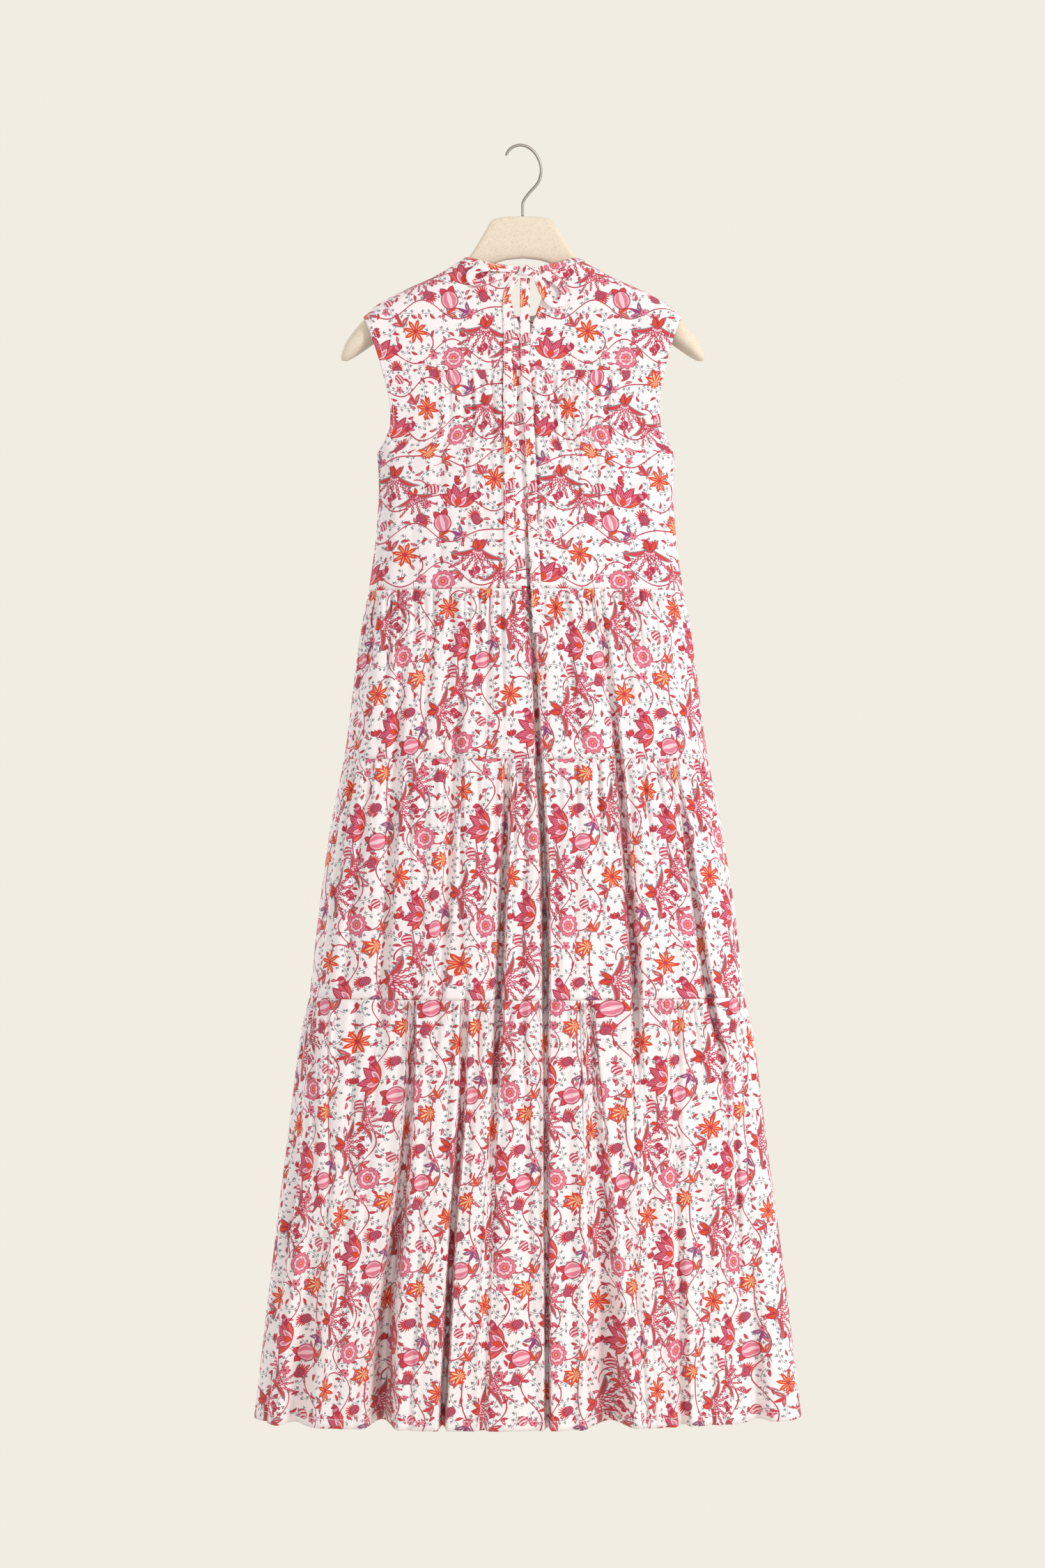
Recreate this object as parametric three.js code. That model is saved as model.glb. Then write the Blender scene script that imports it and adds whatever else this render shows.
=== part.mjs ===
// A sleeveless tiered maxi dress on a contoured hanger, seen from its back, where a tie closes the neck slit.
// Millimetres, +Z up. The origin is the inside top of the hook, where the hanger is held.
// The back of the dress faces -Y, and +X is to the right of someone who looks at that back.
// Every cloth piece is a thin closed wall, worked out from the sections of the hanging tube,
// its folds and its gathers, and stands SEAM clear of the piece that it is sewn to.
import * as THREE from "three";

// Cloth, in millimetres
const CLOTH = 1.5;
const TAPE = 1.2;
const SEAM = 0.3;

// Heights of the seams and edges
const NECK_POINT = -127;
const SHOULDER_TIP = -196;
const YOKE_SEAM = -261;
const UNDERARM = -352;
const SECOND_TIER = -511;
const THIRD_TIER = -703;
const FOURTH_TIER = -974;
const HEM = -1455;

// Neck: half widths of the band's top and of its seam, and how far each dips below its side
const NECK = 65;
const BAND_SEAM = 73.4;
const BAND_FALL = 5.3;
const BACK_DIP = 17.6;
const FRONT_DIP = 63;
const SEAM_BACK_DIP = 22.6;
const SEAM_FRONT_DIP = 68;
const BACK_DIP_POWER = 1.4;

// The shoulders roll over the hanger with this radius
const SHOULDER_ROLL = 24;

// Neck slit at the back: its middle stands a little to the right of the dress's middle
const SLIT_MIDDLE = 3.5;

// Hanger and hook
const WIRE = 3.4;
const HOOK_RADIUS = 26;
const HOOK_TURN = 35;
const HANGER_TOP = -80;

const BACK = -1;
const FRONT = 1;

// Turns rows of numbers into objects with the column names given
function table(columns, rows) {
  const names = columns.split(" ");
  return rows.map((row) => Object.fromEntries(names.map((name, i) => [name, row[i]])));
}

// Reads a column of a table at a height or place, straight between its rows and level past its ends
function read(rows, key, at, column) {
  const falling = rows[0][key] > rows[rows.length - 1][key];
  const past = (row) => (falling ? row[key] <= at : row[key] >= at);
  const next = rows.findIndex(past);
  if (next === 0) return rows[0][column];
  if (next < 0) return rows[rows.length - 1][column];
  const [before, after] = [rows[next - 1], rows[next]];
  const share = (at - before[key]) / (after[key] - before[key]);
  return THREE.MathUtils.lerp(before[column], after[column], share);
}

// The hanging tube: half width, sideways shift of its middle, depth of its rounded sides,
// how much further out the middle of the back and the front stand, and where that swell peaks
const sections = table("z half lean side back front peak", [
  [-127, 215, 0, 24, 1, 3, 0],
  [-196, 212, 0, 24, 4, 7, 0],
  [-261, 193, 1, 22, 15, 14, 0],
  [-352, 171, 4, 18, 26, 24, 0],
  [-392, 169, 4, 22, 28, 26, 0],
  [-444, 172, 4, 26, 30, 28, 0],
  [-511, 181, 4, 30, 32, 30, 0],
  [-551, 189, 4, 34, 32, 32, 0],
  [-703, 209, 4, 38, 34, 34, -5],
  [-772, 223, 4, 40, 35, 36, -10],
  [-880, 239, 5, 41, 38, 38, -15],
  [-974, 250, 5, 42, 40, 40, -20],
  [-1019, 260, 5, 42, 41, 42, -25],
  [-1136, 275, 5, 42, 43, 44, -30],
  [-1316, 298, 6, 42, 46, 46, -40],
  [-1455, 314, 6, 42, 48, 48, -45],
]);

// Half widths of the dress between its armholes
const armhole = table("z x", [
  [-196, 182.5],
  [-212, 176],
  [-237, 167.5],
  [-261, 161],
  [-285, 155.5],
  [-303, 153.5],
  [-320, 154],
  [-332, 157.5],
  [-343, 164],
  [-352, 171],
]);

// Shoulder line, out from the neck
const shoulder = table("x z", [
  [65, -127],
  [97, -147],
  [145, -169.5],
  [168, -182.5],
  [182.5, -196],
]);

// Half width of the neck slit down the back, which ends as a closed seam
const slit = table("z half", [
  [-150, 18],
  [-168, 20],
  [-187, 15],
  [-203, 9.5],
  [-217, 5.5],
  [-229, 0.15],
]);

// Folds: the path of each valley down the dress, how deep it goes in and its half width
const FOLD = "z x deep half";
const backFolds = [
  table(FOLD, [[-430, 5, 0, 5], [-511, 9, 12, 5], [-703, 18, 24, 6], [-850, 25, 32, 7],
    [-974, 26, 32, 7], [-1040, 26, 14, 5], [-1455, 28, 22, 5]]),
  table(FOLD, [[-700, -18, 0, 7], [-760, -19, 16, 7], [-928, -25, 28, 8], [-1000, -28, 26, 8],
    [-1156, -35, 10, 7], [-1300, -41, 5, 8], [-1455, -45, 8, 8]]),
  table(FOLD, [[-520, 84, 0, 6], [-600, 96, 10, 6], [-703, 108, 18, 7], [-863, 121, 26, 8],
    [-974, 128, 24, 8], [-1100, 128, 0, 8]]),
  table(FOLD, [[-540, -132, 0, 9], [-703, -144, 9, 10], [-880, -153, 12, 10], [-974, -160, 9, 10],
    [-1100, -178, 0, 10]]),
  table(FOLD, [[-530, -62, 0, 8], [-703, -76, 9, 9], [-860, -85, 12, 10], [-974, -94, 8, 9],
    [-1060, -100, 0, 9]]),
  table(FOLD, [[-720, 172, 0, 6], [-790, 186, 14, 6], [-880, 198, 20, 7], [-974, 212, 20, 8],
    [-1060, 228, 8, 8], [-1180, 232, 0, 8]]),
  table(FOLD, [[-974, -124, 5, 6], [-1053, -126, 14, 7], [-1196, -137, 28, 11], [-1357, -156, 48, 18],
    [-1455, -160, 58, 22]]),
  table(FOLD, [[-974, -64, 6, 5], [-1094, -68, 16, 6], [-1215, -77, 24, 6], [-1455, -90, 32, 6]]),
  table(FOLD, [[-974, 72, 3, 9], [-1200, 84, 14, 18], [-1455, 98, 50, 33]]),
  table(FOLD, [[-1180, -228, 0, 14], [-1300, -242, 12, 18], [-1455, -258, 28, 22]]),
  table(FOLD, [[-1100, 168, 0, 8], [-1250, 175, 8, 9], [-1455, 181, 15, 10]]),
  table(FOLD, [[-1200, 240, 0, 10], [-1455, 268, 22, 18]]),
];
const frontFolds = [
  table(FOLD, [[-560, -20, 0, 8], [-703, -24, 14, 8], [-974, -32, 24, 9], [-1455, -44, 30, 12]]),
  table(FOLD, [[-600, 66, 0, 8], [-703, 72, 10, 8], [-974, 92, 20, 9], [-1100, 98, 16, 9],
    [-1455, 116, 36, 16]]),
  table(FOLD, [[-620, -108, 0, 8], [-703, -114, 8, 8], [-974, -134, 18, 9], [-1455, -152, 40, 18]]),
  table(FOLD, [[-974, 28, 4, 8], [-1200, 36, 16, 9], [-1455, 42, 24, 10]]),
  table(FOLD, [[-974, 166, 4, 9], [-1200, 184, 14, 10], [-1455, 206, 30, 18]]),
  table(FOLD, [[-1050, -200, 0, 9], [-1250, -222, 12, 10], [-1455, -240, 26, 16]]),
];

// Gathers of each tier: pitch of one gather on the back and on the front,
// and its depth at the seam, just below it and at the foot
const gathers = {
  second: { back: 20, front: 24, seam: 3, below: 4.6, foot: 1.2 },
  third: { back: 20, front: 24, seam: 3, below: 5, foot: 1.4 },
  fourth: { back: 22, front: 25, seam: 3, below: 5.4, foot: 1.6 },
};

// Back bodice: its gathers stand under the middle of the yoke and fade down and sideways
const yokeGathers = { pitch: 13, depth: 2.8, reach: 92, plainFrom: 104, fade: 190 };

const shade = {
  cloth: new THREE.MeshStandardMaterial({ color: "#f0cfd0", roughness: 0.85, metalness: 0 }),
  tape: new THREE.MeshStandardMaterial({ color: "#e9b9bd", roughness: 0.85, metalness: 0 }),
  hanger: new THREE.MeshStandardMaterial({ color: "#eadcc2", roughness: 0.6, metalness: 0 }),
  steel: new THREE.MeshStandardMaterial({ color: "#9a958c", roughness: 0.3, metalness: 1 }),
};

const sectionAt = (z) => ({
  half: read(sections, "z", z, "half"),
  lean: read(sections, "z", z, "lean"),
  side: read(sections, "z", z, "side"),
  back: read(sections, "z", z, "back"),
  front: read(sections, "z", z, "front"),
  peak: read(sections, "z", z, "peak"),
});

const ridge = (x) => read(shoulder, "x", Math.abs(x), "z");

// Where the cloth rolls over the hanger: 0 on the shoulder line, 1 once it hangs straight
function rollAt(x, z) {
  const left = THREE.MathUtils.clamp(1 - (ridge(x) - z) / SHOULDER_ROLL, 0, 1);
  return { out: Math.sqrt(1 - left * left), up: left };
}

// Distance along the cloth from the middle to a sideways place x, flat first and then round the side
function alongAt(x, z) {
  const { half, side } = sectionAt(z);
  const past = Math.abs(x) - (half - side);
  if (past <= 0) return x;
  return Math.sign(x) * (half - side + side * Math.asin(Math.min(1, past / side)));
}

// Half of the cloth's reach from side seam to side seam, or from armhole to armhole
function reachAt(z) {
  if (z > UNDERARM) return alongAt(read(armhole, "z", z, "x"), z);
  const { half, side } = sectionAt(z);
  return half - side + (side * Math.PI) / 2;
}

// A point on the tube: face is BACK or FRONT, along runs from the middle towards +X,
// and sink moves it into the dress
function onTube(face, along, z, sink = 0) {
  const { half, lean, side, back, front, peak } = sectionAt(z);
  const past = Math.max(0, Math.abs(along) - (half - side));
  const turn = past / side;
  const x = past > 0 ? Math.sign(along) * (half - side + side * Math.sin(turn)) : along;
  const swell = face === BACK ? back : front;
  const rise = swell * Math.max(0, 1 - ((x - peak) / half) ** 2) * Math.cos(turn);
  const depth = side * Math.cos(turn) + rise;
  const { out, up } = rollAt(x, z);
  const point = new THREE.Vector3(
    x + lean - Math.sign(along) * sink * Math.sin(turn),
    face * (SEAM / 2 + (depth - sink * Math.cos(turn)) * out),
    z,
  );
  return { point, up, square: turn > Math.PI / 2 - 1e-6 };
}

// A closed shell between two sheets of points, both in rows of the same width,
// which run left to right and downwards when seen from outside
function shell(outer, inner, width) {
  const height = outer.length / width;
  const count = outer.length;
  const index = [];
  for (let i = 0; i < height - 1; i += 1) {
    for (let j = 0; j < width - 1; j += 1) {
      const a = i * width + j;
      const [b, c, d] = [a + 1, a + width + 1, a + width];
      index.push(a, d, c, a, c, b);
      index.push(a + count, c + count, d + count, a + count, b + count, c + count);
    }
  }
  const rim = [];
  const last = count - width;
  for (let j = 0; j < width - 1; j += 1) {
    rim.push([j + 1, j], [last + j, last + j + 1]);
  }
  for (let i = 0; i < height - 1; i += 1) {
    rim.push([i * width, (i + 1) * width], [(i + 2) * width - 1, (i + 1) * width - 1]);
  }
  for (const [from, to] of rim) {
    index.push(to, from, from + count, to, from + count, to + count);
  }
  return solid([...outer, ...inner], index);
}

// A wall of cloth from the rows of its outside. Each cell carries up, the share of its outward
// direction that points at the sky, and a cell marked square keeps the rim in the side seam's plane.
function wall(rows) {
  const width = rows[0].length;
  const inner = rows.flatMap((row) => row.map((cell, j) => {
    const from = row[Math.max(0, j - 1)].point;
    const to = row[Math.min(width - 1, j + 1)].point;
    const run = new THREE.Vector2(to.x - from.x, to.y - from.y).normalize();
    if (cell.square) run.set(0, Math.sign(to.y - from.y));
    const level = Math.sqrt(1 - cell.up * cell.up);
    const outward = new THREE.Vector3(run.y * level, -run.x * level, cell.up);
    return cell.point.clone().addScaledVector(outward, -CLOTH);
  }));
  return shell(rows.flat().map(({ point }) => point), inner, width);
}

function solid(points, index) {
  const geometry = new THREE.BufferGeometry().setFromPoints(points);
  geometry.setIndex(index);
  geometry.computeVertexNormals();
  return geometry;
}

// A closed skin through rings of points along +X, with flat ends
function loft(rings) {
  const sides = rings[0].length;
  const points = rings.flat();
  const index = [];
  for (let i = 0; i < rings.length - 1; i += 1) {
    for (let k = 0; k < sides; k += 1) {
      const next = (k + 1) % sides;
      const [a, b] = [i * sides + k, i * sides + next];
      index.push(a, b, b + sides, a, b + sides, a + sides);
    }
  }
  const end = (rings.length - 1) * sides;
  for (let k = 1; k < sides - 1; k += 1) {
    index.push(0, k + 1, k);
    index.push(end, end + k, end + k + 1);
  }
  return solid(points, index);
}

// A ring round the X axis, between an oval (power 2) and a box (high power)
function ring(x, y, z, halfDepth, halfHeight, sides, power) {
  return Array.from({ length: sides }, (_, k) => {
    const angle = (k * 2 * Math.PI) / sides;
    const squared = (value) => Math.sign(value) * Math.abs(value) ** (2 / power);
    return new THREE.Vector3(
      x,
      y + halfDepth * squared(Math.cos(angle)),
      z + halfHeight * squared(Math.sin(angle)),
    );
  });
}

// The sink of a fold across its half width: 1 in the valley and 0 on each lip
const VALLEY_STEPS = [-1, -0.45, 0, 0.45, 1];
const valley = (share) => (1 + Math.cos(Math.PI * share)) / 2;

// Rows of a gathered panel: its columns run down the folds, so each row has a point on every lip
// and in every valley, and between two folds every second column sinks by one gather
function gatheredRows(face, heights, pitch, gatherDepth) {
  const [top, foot] = [heights[0], heights.at(-1)];
  const middle = (top + foot) / 2;
  const folds = (face === BACK ? backFolds : frontFolds).filter((fold) => (
    fold.some((row) => row.deep > 0 && row.z < top && row.z > foot - SEAM)
  ));
  const runOf = (fold, z) => alongAt(read(fold, "z", z, "x") - sectionAt(z).lean, z);
  folds.sort((a, b) => runOf(a, middle) - runOf(b, middle));
  const columns = [(z) => ({ along: -reachAt(z), sink: 0 })];
  const fill = (from, to) => {
    const cells = 2 * Math.max(1, Math.round((to(middle) - from(middle)) / pitch));
    for (let k = 1; k < cells; k += 1) {
      columns.push((z) => {
        const along = THREE.MathUtils.lerp(from(z), to(z), k / cells);
        return { along, sink: k % 2 ? gatherDepth(z, along) : 0 };
      });
    }
  };
  let from = (z) => -reachAt(z);
  for (const fold of folds) {
    const lip = (z, share) => runOf(fold, z) + share * read(fold, "z", z, "half");
    fill(from, (z) => lip(z, -1));
    for (const share of VALLEY_STEPS) {
      columns.push((z) => ({ along: lip(z, share), sink: valley(share) * read(fold, "z", z, "deep") }));
    }
    from = (z) => lip(z, 1);
  }
  fill(from, reachAt);
  columns.push((z) => ({ along: reachAt(z), sink: 0 }));
  if (face === FRONT) columns.reverse();
  return heights.map((z) => columns.map((column) => {
    const { along, sink } = column(z);
    return onTube(face, along, z, sink);
  }));
}

// A tier's back or front, between two seams
const TIER_ROWS = [0, 0.08, 0.28, 0.62, 1];
function tierPanel(face, top, foot, gather) {
  const depths = table("share depth", [
    [0, gather.seam],
    [TIER_ROWS[1], gather.below],
    [TIER_ROWS[3], gather.foot],
    [1, gather.foot],
  ]);
  const gatherDepth = (z) => read(depths, "share", (top - z) / (top - foot), "depth");
  const [high, low] = [top - SEAM / 2, foot === HEM ? foot : foot + SEAM / 2];
  const heights = TIER_ROWS.map((share) => THREE.MathUtils.lerp(high, low, share));
  const pitch = face === BACK ? gather.back : gather.front;
  return wall(gatheredRows(face, heights, pitch, gatherDepth));
}

// Back of the bodice: gathered under the middle of the yoke, cut away at the armholes
const BODICE_BACK_HEIGHTS = [YOKE_SEAM - SEAM / 2, -278, -312, UNDERARM, -430, SECOND_TIER + SEAM / 2];
function backBodice() {
  const { pitch, depth, reach, plainFrom, fade } = yokeGathers;
  const gatherDepth = (z, along) => {
    const down = Math.max(0, 1 - (YOKE_SEAM - z) / fade);
    const out = THREE.MathUtils.clamp((plainFrom - Math.abs(along)) / (plainFrom - reach), 0, 1);
    return depth * down * out;
  };
  return wall(gatheredRows(BACK, BODICE_BACK_HEIGHTS, pitch, gatherDepth));
}

const neckDip = (share, power) => 1 - Math.abs(share) ** power;

// Height of the neck seam at a sideways place: shallow behind, a round scoop in front
function neckSeam(face, x) {
  const share = Math.min(1, Math.abs(x) / BAND_SEAM);
  const side = NECK_POINT - BAND_FALL;
  if (face === BACK) return side - SEAM_BACK_DIP * neckDip(share, BACK_DIP_POWER);
  return side - SEAM_FRONT_DIP * Math.sqrt(1 - share * share);
}

const topEdge = (face, x) => (Math.abs(x) < BAND_SEAM ? neckSeam(face, x) : ridge(x));

// Turns round the neck, in degrees, where the band and the panels sewn to it all have a point
const NECK_STEP = 9;
const neckTurns = Array.from({ length: 90 / NECK_STEP }, (_, k) => k * NECK_STEP);
const sineOf = (degrees) => Math.sin(THREE.MathUtils.degToRad(degrees));
const SHOULDER_CELLS = 6;

// Sideways places along the top of a panel, from one place at the neck out to the shoulder's tip
function topPlaces(start) {
  const tip = read(armhole, "z", SHOULDER_TIP, "x");
  const neck = neckTurns.map((turn) => BAND_SEAM * sineOf(turn)).filter((x) => x > start + NECK_STEP / 2);
  const line = Array.from({ length: SHOULDER_CELLS + 1 }, (_, k) => (
    THREE.MathUtils.lerp(BAND_SEAM, tip, k / SHOULDER_CELLS)
  ));
  return [start, ...neck, ...line];
}

// Half of the back yoke: from the slit to the armhole, and from neck and shoulder down to the yoke seam
const YOKE_ROWS = [0, 0.025, 0.08, 0.16, 0.28, 0.43, 0.6, 0.74, 0.87, 1];
function backYoke(hand) {
  const tip = read(armhole, "z", SHOULDER_TIP, "x");
  const slitEdge = (z) => Math.max(SEAM / 2, read(slit, "z", z, "half")) + hand * SLIT_MIDDLE;
  const start = slitEdge(neckSeam(BACK, 0));
  const places = topPlaces(start);
  if (hand < 0) places.reverse();
  const rows = YOKE_ROWS.map((share) => places.map((x) => {
    const z = THREE.MathUtils.lerp(topEdge(BACK, x), YOKE_SEAM + SEAM / 2, share);
    const across = (x - start) / (tip - start);
    const along = THREE.MathUtils.lerp(slitEdge(z), reachAt(Math.min(z, SHOULDER_TIP)), across);
    return onTube(BACK, hand * along, z);
  }));
  return wall(rows);
}

// Front of the bodice in one piece, from neck and shoulders down to the first tier seam
const FRONT_ROWS = [0, 0.012, 0.04, 0.085, 0.15, 0.25, 0.36, 0.49, 0.62, 0.8, 1];
function frontBodice() {
  const tip = read(armhole, "z", SHOULDER_TIP, "x");
  const half = topPlaces(0);
  const places = [...half.slice(1).reverse(), ...half.map((x) => -x)];
  const rows = FRONT_ROWS.map((share) => places.map((x) => {
    const z = THREE.MathUtils.lerp(topEdge(FRONT, x), SECOND_TIER + SEAM / 2, share);
    const along = (x / tip) * reachAt(Math.min(z, SHOULDER_TIP));
    return onTube(FRONT, along, z);
  }));
  return wall(rows);
}

// Neck band: one strip from the right edge of the slit round the front to its left edge
const BAND_ROWS = [0, 0.5, 1];
const BAND_ENDS = { right: 16, firstStation: 27, lastStation: 342, left: 347.6 };
function neckBand() {
  const turns = [BAND_ENDS.right];
  for (let turn = BAND_ENDS.firstStation; turn <= BAND_ENDS.lastStation; turn += NECK_STEP) turns.push(turn);
  turns.push(BAND_ENDS.left);
  const rows = BAND_ROWS.map((share) => turns.map((turn) => {
    const face = turn < 90 || turn > 270 ? BACK : FRONT;
    const sideways = sineOf(turn);
    const dip = face === BACK ? neckDip(sideways, BACK_DIP_POWER) : Math.sqrt(1 - sideways ** 2);
    const depth = face === BACK ? BACK_DIP : FRONT_DIP;
    const top = NECK_POINT - depth * dip;
    const parting = face === BACK ? SEAM : 2 * SEAM;
    const foot = neckSeam(face, BAND_SEAM * sideways) + parting;
    const x = THREE.MathUtils.lerp(NECK, BAND_SEAM - parting, share) * sideways;
    const z = THREE.MathUtils.lerp(top, foot, share);
    return onTube(face, x, Math.min(z, ridge(x)));
  }));
  return wall(rows);
}

// A strip of tape laid on the back of the dress: path rows give its middle, its width and how far
// it stands off the cloth. It is thick straight towards the viewer, because the back is nearly flat there.
const STRIP_COLUMNS = [-0.5, 0, 0.5];
function tapeOnBack(path, steps) {
  const middle = new THREE.CatmullRomCurve3(path.map(({ x, z, off }) => new THREE.Vector3(x, off, z)));
  const widths = path.map((row, i) => ({ share: i / (path.length - 1), width: row.width }));
  const rows = Array.from({ length: steps + 1 }, (_, k) => {
    const share = k / steps;
    const at = middle.getPoint(share);
    const way = middle.getTangent(share);
    const across = new THREE.Vector2(-way.z, way.x).normalize();
    const width = read(widths, "share", share, "width");
    return STRIP_COLUMNS.map((column) => {
      const x = at.x + across.x * width * column;
      const z = at.z + across.y * width * column;
      const { point } = onTube(BACK, x - sectionAt(z).lean, z);
      return point.setY(point.y - at.y);
    });
  });
  const inner = rows.flat();
  const outer = inner.map((point) => point.clone().setY(point.y - TAPE));
  return shell(outer, inner, STRIP_COLUMNS.length);
}

// Paths of the tie's two tails and two loops
const PATH = "x z off width";
const rightTail = table(PATH, [[3, -155.5, 0.6, 11], [2.7, -200, 0.4, 11.6], [3, -250, 0.4, 11.6],
  [8, -340, 0.4, 12], [12, -440, 0.4, 12], [15, -510, 0.6, 12], [17.6, -561, 0.8, 12]]);
const leftTail = table(PATH, [[-7.5, -155.5, 0.6, 6], [-17, -172, 0.5, 8], [-17, -220, 0.4, 10],
  [-16, -300, 0.4, 12], [-15, -390, 0.4, 13], [-14, -505, 0.6, 13]]);
const leftLoop = table(PATH, [[-6.5, -146.5, 5.2, 6.5], [-14, -145.5, 5.4, 8], [-25, -144.5, 5.6, 9],
  [-40, -143.5, 5.4, 10], [-53, -146.5, 4.8, 10], [-59.5, -154, 4, 10], [-54, -161, 3.2, 10],
  [-40, -158.5, 2.4, 9.5], [-26, -153, 2.2, 8], [-16, -150.5, 2.4, 6.5], [-9, -149.5, 3, 5.5]]);
const rightLoop = table(PATH, [[13, -149, 7, 8], [20, -163, 7, 10], [26, -176, 6.6, 10],
  [34, -185, 5.8, 9], [44, -184.5, 4.8, 9], [48.5, -175, 3.8, 10], [44, -164, 3.2, 11],
  [34, -156, 2.8, 11], [21, -150, 2.6, 9]]);

// Knot of the tie, with a short arm to each end of the neck band
const KNOT_SIDES = 10;
const KNOT_HEIGHT = -147.3;
const knotSections = table("x off halfDepth halfHeight", [
  [-13.6, -0.8, 0.7, 4],
  [-10, 0.2, 1.2, 3.8],
  [-5, 2.6, 2.8, 5],
  [0, 4, 4.2, 6],
  [4, 4.4, 4.6, 6.4],
  [8, 4, 4.2, 6],
  [12.5, 2.4, 2.8, 4.8],
  [15.5, 0.2, 1.2, 3.8],
  [17.6, -0.8, 0.7, 4],
]);
function tieKnot() {
  return loft(knotSections.map(({ x, off, halfDepth, halfHeight }) => {
    const { point } = onTube(BACK, x, KNOT_HEIGHT);
    return ring(x, point.y - off, KNOT_HEIGHT, halfDepth, halfHeight, KNOT_SIDES, 2);
  }));
}

// Hanger body: a tall flat neck plate that flares into two arms with rounded, hanging tips
const HANGER_SIDES = 12;
const hangerSections = table("x top foot halfDepth power", [
  [0, -80, -128, 7, 4],
  [18, -80.6, -129.8, 7, 4],
  [30, -82.3, -133.4, 7, 4],
  [37, -86.5, -136, 7, 3.6],
  [42, -95.5, -138, 7.2, 3.2],
  [48, -105.5, -141, 7.6, 2.8],
  [56, -118.5, -146.5, 8.2, 2.6],
  [64, -129.3, -153, 9, 2.4],
  [73.4, -135.6, -160.5, 10.4, 2.4],
  [97, -149.4, -178.5, 13, 2.4],
  [121, -160.8, -193, 15.5, 2.4],
  [145, -172.2, -208, 17.5, 2.4],
  [165, -183.6, -222, 19, 2.4],
  [182, -199, -234, 19, 2.4],
  [195, -214, -242.5, 17.5, 2.4],
  [203, -225, -246, 14.5, 2.2],
  [208, -236, -245.5, 8, 2],
]);
function hangerBody() {
  const left = hangerSections.slice(1).reverse().map((row) => ({ ...row, x: -row.x }));
  return loft([...left, ...hangerSections].map(({ x, top, foot, halfDepth, power }) => (
    ring(x, 0, (top + foot) / 2, halfDepth, (top - foot) / 2, HANGER_SIDES, power)
  )));
}

// Hook: round wire, up from the plate in an S and over in an open circle
const HOOK_TIP = 153;
const HOOK_TAIL = -42;
const HOOK_ARC_STEP = 15;
const HOOK_STEPS = 36;
const hookStem = table("reach z", [
  [0, HANGER_TOP + SEAM],
  [0, HANGER_TOP + 8],
  [0.6, -64],
  [8, -53.5],
]);
function hangerHook() {
  const way = new THREE.Vector3(1, 0, 0).applyAxisAngle(
    new THREE.Vector3(0, 0, 1),
    THREE.MathUtils.degToRad(HOOK_TURN),
  );
  const middle = WIRE / 2 - HOOK_RADIUS;
  const at = (reach, z) => way.clone().multiplyScalar(reach).setZ(z);
  const points = hookStem.map(({ reach, z }) => at(reach, z));
  for (let angle = HOOK_TAIL; angle <= HOOK_TIP; angle += HOOK_ARC_STEP) {
    const turn = THREE.MathUtils.degToRad(angle);
    points.push(at(HOOK_RADIUS * Math.cos(turn), middle + HOOK_RADIUS * Math.sin(turn)));
  }
  const section = new THREE.Shape().absarc(0, 0, WIRE / 2, 0, 2 * Math.PI);
  return new THREE.ExtrudeGeometry(section, {
    steps: HOOK_STEPS,
    curveSegments: 4,
    bevelEnabled: false,
    extrudePath: new THREE.CatmullRomCurve3(points),
  });
}

const dress = new THREE.Group();
function add(name, geometry, material) {
  const mesh = new THREE.Mesh(geometry, material);
  mesh.name = name;
  dress.add(mesh);
}

add("back_yoke_left", backYoke(-1), shade.cloth);
add("back_yoke_right", backYoke(1), shade.cloth);
add("back_bodice", backBodice(), shade.cloth);
add("front_bodice", frontBodice(), shade.cloth);
add("neck_band", neckBand(), shade.tape);
const tiers = [
  ["tier_2", SECOND_TIER, THIRD_TIER, gathers.second],
  ["tier_3", THIRD_TIER, FOURTH_TIER, gathers.third],
  ["tier_4", FOURTH_TIER, HEM, gathers.fourth],
];
for (const [name, top, foot, gather] of tiers) {
  add(`${name}_back`, tierPanel(BACK, top, foot, gather), shade.cloth);
  add(`${name}_front`, tierPanel(FRONT, top, foot, gather), shade.cloth);
}
add("tie_knot", tieKnot(), shade.tape);
add("tie_loop_left", tapeOnBack(leftLoop, 22), shade.tape);
add("tie_loop_right", tapeOnBack(rightLoop, 22), shade.tape);
add("tie_tail_left", tapeOnBack(leftTail, 16), shade.tape);
add("tie_tail_right", tapeOnBack(rightTail, 18), shade.tape);
add("hanger_body", hangerBody(), shade.hanger);
add("hanger_hook", hangerHook(), shade.steel);

export default dress;
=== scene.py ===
# %% [markdown]
# # A printed maxi dress on its hanger
#
# The dress is sewn from flat pieces of thin printed cotton: a yoke, a bodice and three gathered
# tiers, each longer and fuller than the one above. It hangs from a contoured hanger and is seen
# from its back, where a tie closes the neck slit. Every cloth piece below is one thin sheet, bent
# by a few short tables: the outline of the hanging tube, the folds that fall through it, and the
# gathers at its seams. Everything is in metres, with the origin at the inside top of the hook.

# %% Load the frame
import math

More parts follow.
